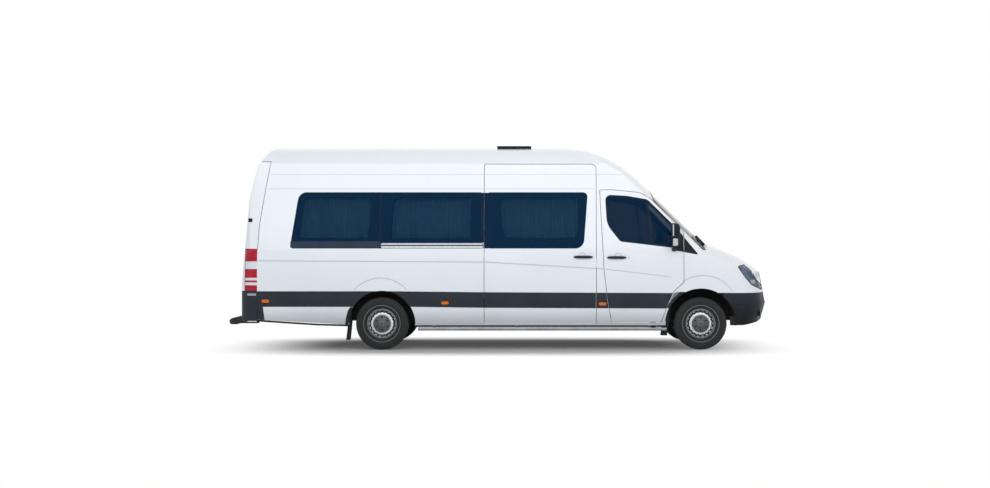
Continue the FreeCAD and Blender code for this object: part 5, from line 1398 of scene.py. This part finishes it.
# ------------------------------------------------------------------ curtains
def curtain_places():
    """The ends of each curtain in a row, their hem's and head's heights, and how far out hem and head hang."""
    right = [v.co for v in NODES["curtains"].data.vertices if v.co.y < 0]
    ends = sorted({round(c.x, 3) for c in right})
    hem_z, head_z = min(c.z for c in right), max(c.z for c in right)
    out = []
    for z in (hem_z, head_z):
        level = [abs(c.y) for c in right if abs(c.z - z) < 0.01]
        out.append(sum(level) / len(level))
    return list(zip(ends[::2], ends[1::2])), hem_z, head_z, *out


FOLD_PITCH, FOLD_STEPS, DROP_STEPS, CLOTH, CURTAIN_GAP = 0.046, 8, 14, 0.0012, 0.004
HOOKS, HOOK_INSET = 9, 0.02


def pleated(x0, x1, z0, z1, low_y, top_y, seed):
    """Curtain gathered on its rail: folds that open and wander towards the hem, as a thin closed sheet."""
    chance = random.Random(seed)
    folds = max(6, round((x1 - x0) / FOLD_PITCH))
    drift = [chance.uniform(-0.35, 0.35) for _ in range(folds + 2)]
    swell = [chance.uniform(0.75, 1.1) for _ in range(folds + 2)]
    columns, rows = folds * FOLD_STEPS, DROP_STEPS
    sheet = []
    for j in range(rows + 1):
        down = j / rows
        z = z1 - (z1 - z0) * down
        y_mid = top_y + (low_y - top_y) * down
        line = []
        for i in range(columns + 1):
            t = i / columns * folds
            k = int(t)
            mixed = drift[k] + (drift[k + 1] - drift[k]) * (t - k)
            size = swell[k] + (swell[k + 1] - swell[k]) * (t - k)
            wave = math.sin(2 * math.pi * t + mixed * down * 1.8)
            reach = (0.0055 + 0.0035 * down) * size
            x = x0 + (x1 - x0) * i / columns + 0.002 * math.sin(4 * math.pi * t) * down
            line.append((x, y_mid - reach * wave, z))
        sheet.append(line)
    width = sum(math.dist(a, b) for a, b in zip(sheet[rows // 2], sheet[rows // 2][1:]))
    points, faces = [], []
    for offset in (0.0, CLOTH):
        points += [Vector((x, -y - offset, z)) for line in sheet for x, y, z in line]
    span, layer = columns + 1, (columns + 1) * (rows + 1)
    for j in range(rows):
        for i in range(columns):
            a = j * span + i
            faces.append([a, a + 1, a + span + 1, a + span])
            faces.append([layer + a, layer + a + span, layer + a + span + 1, layer + a + 1])
    border = list(range(columns)) + [columns + j * span for j in range(rows)]
    border += [rows * span + columns - i for i in range(columns)] + [(rows - j) * span for j in range(rows)]
    for a, b in zip(border, border[1:] + border[:1]):
        faces.append([a, a + layer, b + layer, b])
    return (points, faces), width


spans, hem_z, head_z, low_y, top_y = curtain_places()
for hand in SIDES:
    for number, (x0, x1) in enumerate(spans):
        shape, width = pleated(x0 + CURTAIN_GAP, x1 - CURTAIN_GAP, hem_z, head_z, low_y, top_y, number + 7 * len(hand))
        drop = add(f"curtain_{hand}_{number + 1}", [on_side(hand, shape)], CURTAIN_CLOTH, smooth=70)
        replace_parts(drop, "curtains")
hooks = []
for hand in SIDES:
    for x0, x1 in spans:
        for k in range(HOOKS):
            x = x0 + HOOK_INSET + (x1 - x0 - 2 * HOOK_INSET) * k / (HOOKS - 1)
            hook = [(x, -top_y - 0.001, head_z - 0.012), (x, -top_y - 0.001, head_z + 0.001)]
            hooks.append(on_side(hand, rod(hook, 0.0022, 8)))
add("curtain_hooks", hooks, TRIM_GREY, slot="bare_steel")

# ------------------------------------------------------------------ cab
DASH_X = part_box("dashboard")[0].x  # its rear face
DRIVER_Y = sum(c.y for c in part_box("steering_wheel")) / 2
DIAL_X, DIAL_Z = 2.1835, 1.325

hood = layered(oblong(DRIVER_Y - 0.190, 1.245, DRIVER_Y + 0.190, 1.405, 0.05),
               [(2.195, 0.012), (2.180, 0.004), (2.185, 0.0), (2.30, 0.004), (2.36, 0.022)], from_behind)
add("gauge_hood", [hood], DASH)
gauges, rings, marks, needles = [], [], [], []
for y, size in ((DRIVER_Y - 0.09, 0.056), (DRIVER_Y + 0.09, 0.056), (DRIVER_Y, 0.026)):
    at = Vector((DIAL_X, y, DIAL_Z))
    gauges.append(moved(dial("rear", [(0.0, -0.002), (size, -0.002), (size, 0.004), (0.0, 0.004)], 40), at))
    rings.append(moved(dial("rear", [(size, -0.006), (size + 0.004, -0.004), (size + 0.004, 0.006), (size, 0.006)], 40),
                       at))
    face = at - Vector((0.003, 0, 0))
    for k in range(13):
        turn = math.radians(-30 + 20 * k)
        way = Vector((0, math.cos(turn), math.sin(turn)))
        marks.append(rod([face + way * size * 0.80, face + way * size * 0.93], 0.0009, 6))
    face = at - Vector((0.004, 0, 0))
    needles.append(rod([face, face + Vector((0, -0.7, 0.7)) * size * 0.8], 0.0012, 6))
add("gauge_faces", gauges, DIAL)
add("gauge_rings", rings, RAIL)
add("gauge_marks", marks, DIAL_MARK)
add("gauge_needles", needles, RED_LAMP)


def dash_panel(y0, z0, y1, z1, radius, out, shrink):
    """Raised panel on the dashboard's rear face."""
    stations = [(DASH_X + 0.004, 0.0), (DASH_X - out, 0.0), (DASH_X - out - shrink + 0.001, shrink)]
    return layered(oblong(y0, z0, y1, z1, radius), stations, from_behind)


vents, blades = [], []
for y in (-0.74, -0.56, -0.10, 0.10, 0.74):
    vents.append(dash_panel(y - 0.062, 1.165, y + 0.062, 1.235, 0.016, 0.010, 0.003))
    for k in range(4):
        z = 1.176 + 0.014 * k
        blades.append(block((DASH_X - 0.016, y - 0.052, z), (DASH_X - 0.006, y + 0.052, z + 0.0035), 0.001))
add("dash_vents", vents, BLACK)
add("dash_vent_blades", blades, DASH)
add("dash_tray", [dash_panel(-0.70, 1.045, -0.26, 1.145, 0.02, 0.008, 0.004),
                  dash_panel(-0.13, 1.03, 0.13, 1.15, 0.012, 0.008, 0.003)], BLACK)
KNOB = [(0.0, -0.024), (0.013, -0.022), (0.016, -0.004), (0.016, 0.004), (0.0, 0.004)]
add("dash_knobs", [moved(dial("rear", KNOB, 24), (DASH_X - 0.008, y, 1.06)) for y in (-0.075, 0.0, 0.075)], RAIL,
    slot="dark_plastic")
rake = Matrix.Rotation(math.radians(-42), 3, "Y")
hub = Vector((2.080, DRIVER_Y, 1.290))
hub_points, hub_faces = pillow((0, 0, 0.006), (0.075, 0.085, 0.020), 0.45)
add("horn_pad", [([rake @ p + hub for p in hub_points], hub_faces)], DASH)
add("gear_lever", [rod([(2.155, 0.16, 1.02), (2.10, 0.16, 1.10), (2.07, 0.16, 1.145)], 0.008, 12)], RAIL)
add("gear_knob", [pillow((2.063, 0.16, 1.165), (0.022, 0.022, 0.030), 0.8)], LEATHER)

# ------------------------------------------------------------------ underneath
SPRING_Y, DAMPER_Y, SPRING_Z = 0.42, 0.33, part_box("leaf_springs")[0].z
bolts, leaves, dampers = [], [], []
for side in SIDES.values():
    y = side * SPRING_Y
    for x in (REAR_AXLE_X - 0.055, REAR_AXLE_X + 0.055):
        half = [(-0.042, -0.045), (-0.042, 0.06), (-0.036, 0.074)]
        loop = half + [(-dy, dz) for dy, dz in reversed(half)]
        bolts.append(rod([(x, y + dy, TYRE_R + dz) for dy, dz in loop], 0.007, 10))
    for k, half in enumerate((0.52, 0.38, 0.24)):
        z = SPRING_Z - 0.0004 - 0.009 * k
        for x0, x1 in ((-half, -0.046), (0.046, half)):
            leaves.append(block((REAR_AXLE_X + x0, y - 0.033, z - 0.0085), (REAR_AXLE_X + x1, y + 0.033, z), 0.002))
    y = side * DAMPER_Y
    dampers.append(rod([(REAR_AXLE_X - 0.12, y, 0.30), (REAR_AXLE_X - 0.26, y, 0.44)], 0.026, 20))
    dampers.append(rod([(REAR_AXLE_X - 0.24, y, 0.42), (REAR_AXLE_X - 0.37, y, 0.55)], 0.014, 16))
add("spring_clamps", bolts, STEEL)
add("spring_leaves", leaves, CAST)
add("rear_dampers", dampers, FRAME_PAINT)
BOLT = turned([(0.0, -0.004), (0.009, -0.004), (0.009, 0.006), (0.0, 0.0065)], 0, 0, 0, 1, 6)
FRAME_BOLTS, BOLT_PITCH = 14, 0.42
for hand, side in SIDES.items():
    repeat(f"frame_bolts_{hand}", [on_side(hand, mirrored(BOLT))], STEEL, "chassis", FRAME_BOLTS,
           (-3.0, side * 0.4605, 0.51), step=(BOLT_PITCH, 0, 0))

# ------------------------------------------------------------------ camera, floor and light
eye = bpy.data.cameras.new("viewpoint")
eye.lens = 47.65
eye.sensor_width = 36
eye.shift_x = -0.0336
eye.clip_end = 200
camera = bpy.data.objects.new("viewpoint", eye)
camera.location = (0.38, -18.73, 1.437)
camera.rotation_euler = (math.radians(90), 0, 0)
bpy.context.scene.collection.objects.link(camera)
bpy.context.scene.camera = camera
bpy.context.scene.view_settings.view_transform = "Standard"


def seen_directly(tree, node):
    """1 for rays from the camera, and for what gloss and glass show of it."""
    path = tree.nodes.new("ShaderNodeLightPath").outputs
    total = path["Is Camera Ray"]
    for other in ("Is Glossy Ray", "Is Transmission Ray"):
        step = tree.nodes.new("ShaderNodeMath")
        step.operation = "ADD"
        step.use_clamp = True
        tree.links.new(total, step.inputs[0])
        tree.links.new(path[other], step.inputs[1])
        total = step.outputs[0]
    tree.links.new(total, node)


# white to the eye, and a soft, slightly cool light on everything else
world = bpy.data.worlds.new("studio")
world.use_nodes = True
bpy.context.scene.world = world
sky = world.node_tree
light = sky.nodes["Background"]
light.inputs["Color"].default_value = (0.97, 0.985, 1, 1)
light.inputs["Strength"].default_value = 0.60
plain = sky.nodes.new("ShaderNodeBackground")
plain.inputs["Color"].default_value = (1, 1, 1, 1)
chosen = sky.nodes.new("ShaderNodeMixShader")
seen_directly(sky, chosen.inputs[0])
sky.links.new(light.outputs[0], chosen.inputs[1])
sky.links.new(plain.outputs[0], chosen.inputs[2])
sky.links.new(chosen.outputs[0], sky.nodes["World Output"].inputs["Surface"])

# the floor shows the vehicle's shade in a rounded patch round it, deepened by painted shadow and lifted by a faint
# painted glow, and fades to white beyond
SHADE_HALF_X, SHADE_HALF_Y, SHADE_Y, FLOOR_HALF = 4.25, 1.98, -0.22, 60
ground = Finish("studio_floor", Roughness=0.95, Specular_IOR_Level=0.0)
grain = ground.noise(3.0, 2.0)
gx, gy, _ = ground.axes()[:3]


def reached(value, half):
    """The fourth power of how much of a half width has been reached."""
    return ground.sums("POWER", ground.times(ground.sums("ABSOLUTE", value), 1 / half), 4.0)


across = reached(gx, SHADE_HALF_X)
deep = reached(ground.plus(gy, -SHADE_Y), SHADE_HALF_Y)
far = ground.sums("POWER", ground.plus(across, deep), 0.25)
# share of flat white seen by the camera: a faint painted glow (0.065) under the vehicle, rising through the shadow's
# edge to the white backdrop
backdrop_and_painted_glow = ground.ramp(far, 0.52, 0.98, 0.065, 1.0)
# painted shadow: the floor's own colour is mid grey in the patch round the vehicle and near white beyond
ground.colour(ground.mix(ground.ramp(far, 0.7, 1.3), ground.mix(grain, (0.50, 0.50, 0.50), (0.52, 0.52, 0.52)),
                         ground.mix(grain, (0.95, 0.95, 0.95), (0.96, 0.96, 0.96))))
direct = ground.node("Math", {0: backdrop_and_painted_glow, 1: 0.0}, operation="MULTIPLY")
seen_directly(ground.tree, direct.inputs[1])
white = ground.node("Emission", {"Color": (1, 1, 1, 1), "Strength": 1.0})
both_ways = ground.node("MixShader", {0: direct.outputs[0], 1: ground.shader.outputs[0], 2: white.outputs[0]})
ground.tree.links.new(both_ways.outputs[0], ground.tree.nodes["Material Output"].inputs["Surface"])
floor_mesh = bpy.data.meshes.new("studio_floor")
corners = ((-1, -1), (1, -1), (1, 1), (-1, 1))
floor_mesh.from_pydata([(x * FLOOR_HALF, y * FLOOR_HALF, 0) for x, y in corners], [], [[0, 1, 2, 3]])
floor_mesh.materials.append(ground.material)
floor_object = bpy.data.objects.new("studio_floor", floor_mesh)
bpy.context.scene.collection.objects.link(floor_object)


def soft_lamp(name, place, target, size, power):
    """Rectangular lamp that looks at a target."""
    lamp = bpy.data.lights.new(name, "AREA")
    lamp.shape = "RECTANGLE"
    lamp.size, lamp.size_y = size
    lamp.energy = power
    made = bpy.data.objects.new(name, lamp)
    made.location = place
    made.rotation_euler = (Vector(target) - Vector(place)).to_track_quat("-Z", "Y").to_euler()
    bpy.context.scene.collection.objects.link(made)


soft_lamp("overhead_softbox", (0, 0, 8.5), (0, 0, 0), (12, 9), 50)
soft_lamp("side_softbox", (1.0, -12, 6.5), (0, 0, 1.2), (14, 6), 620)
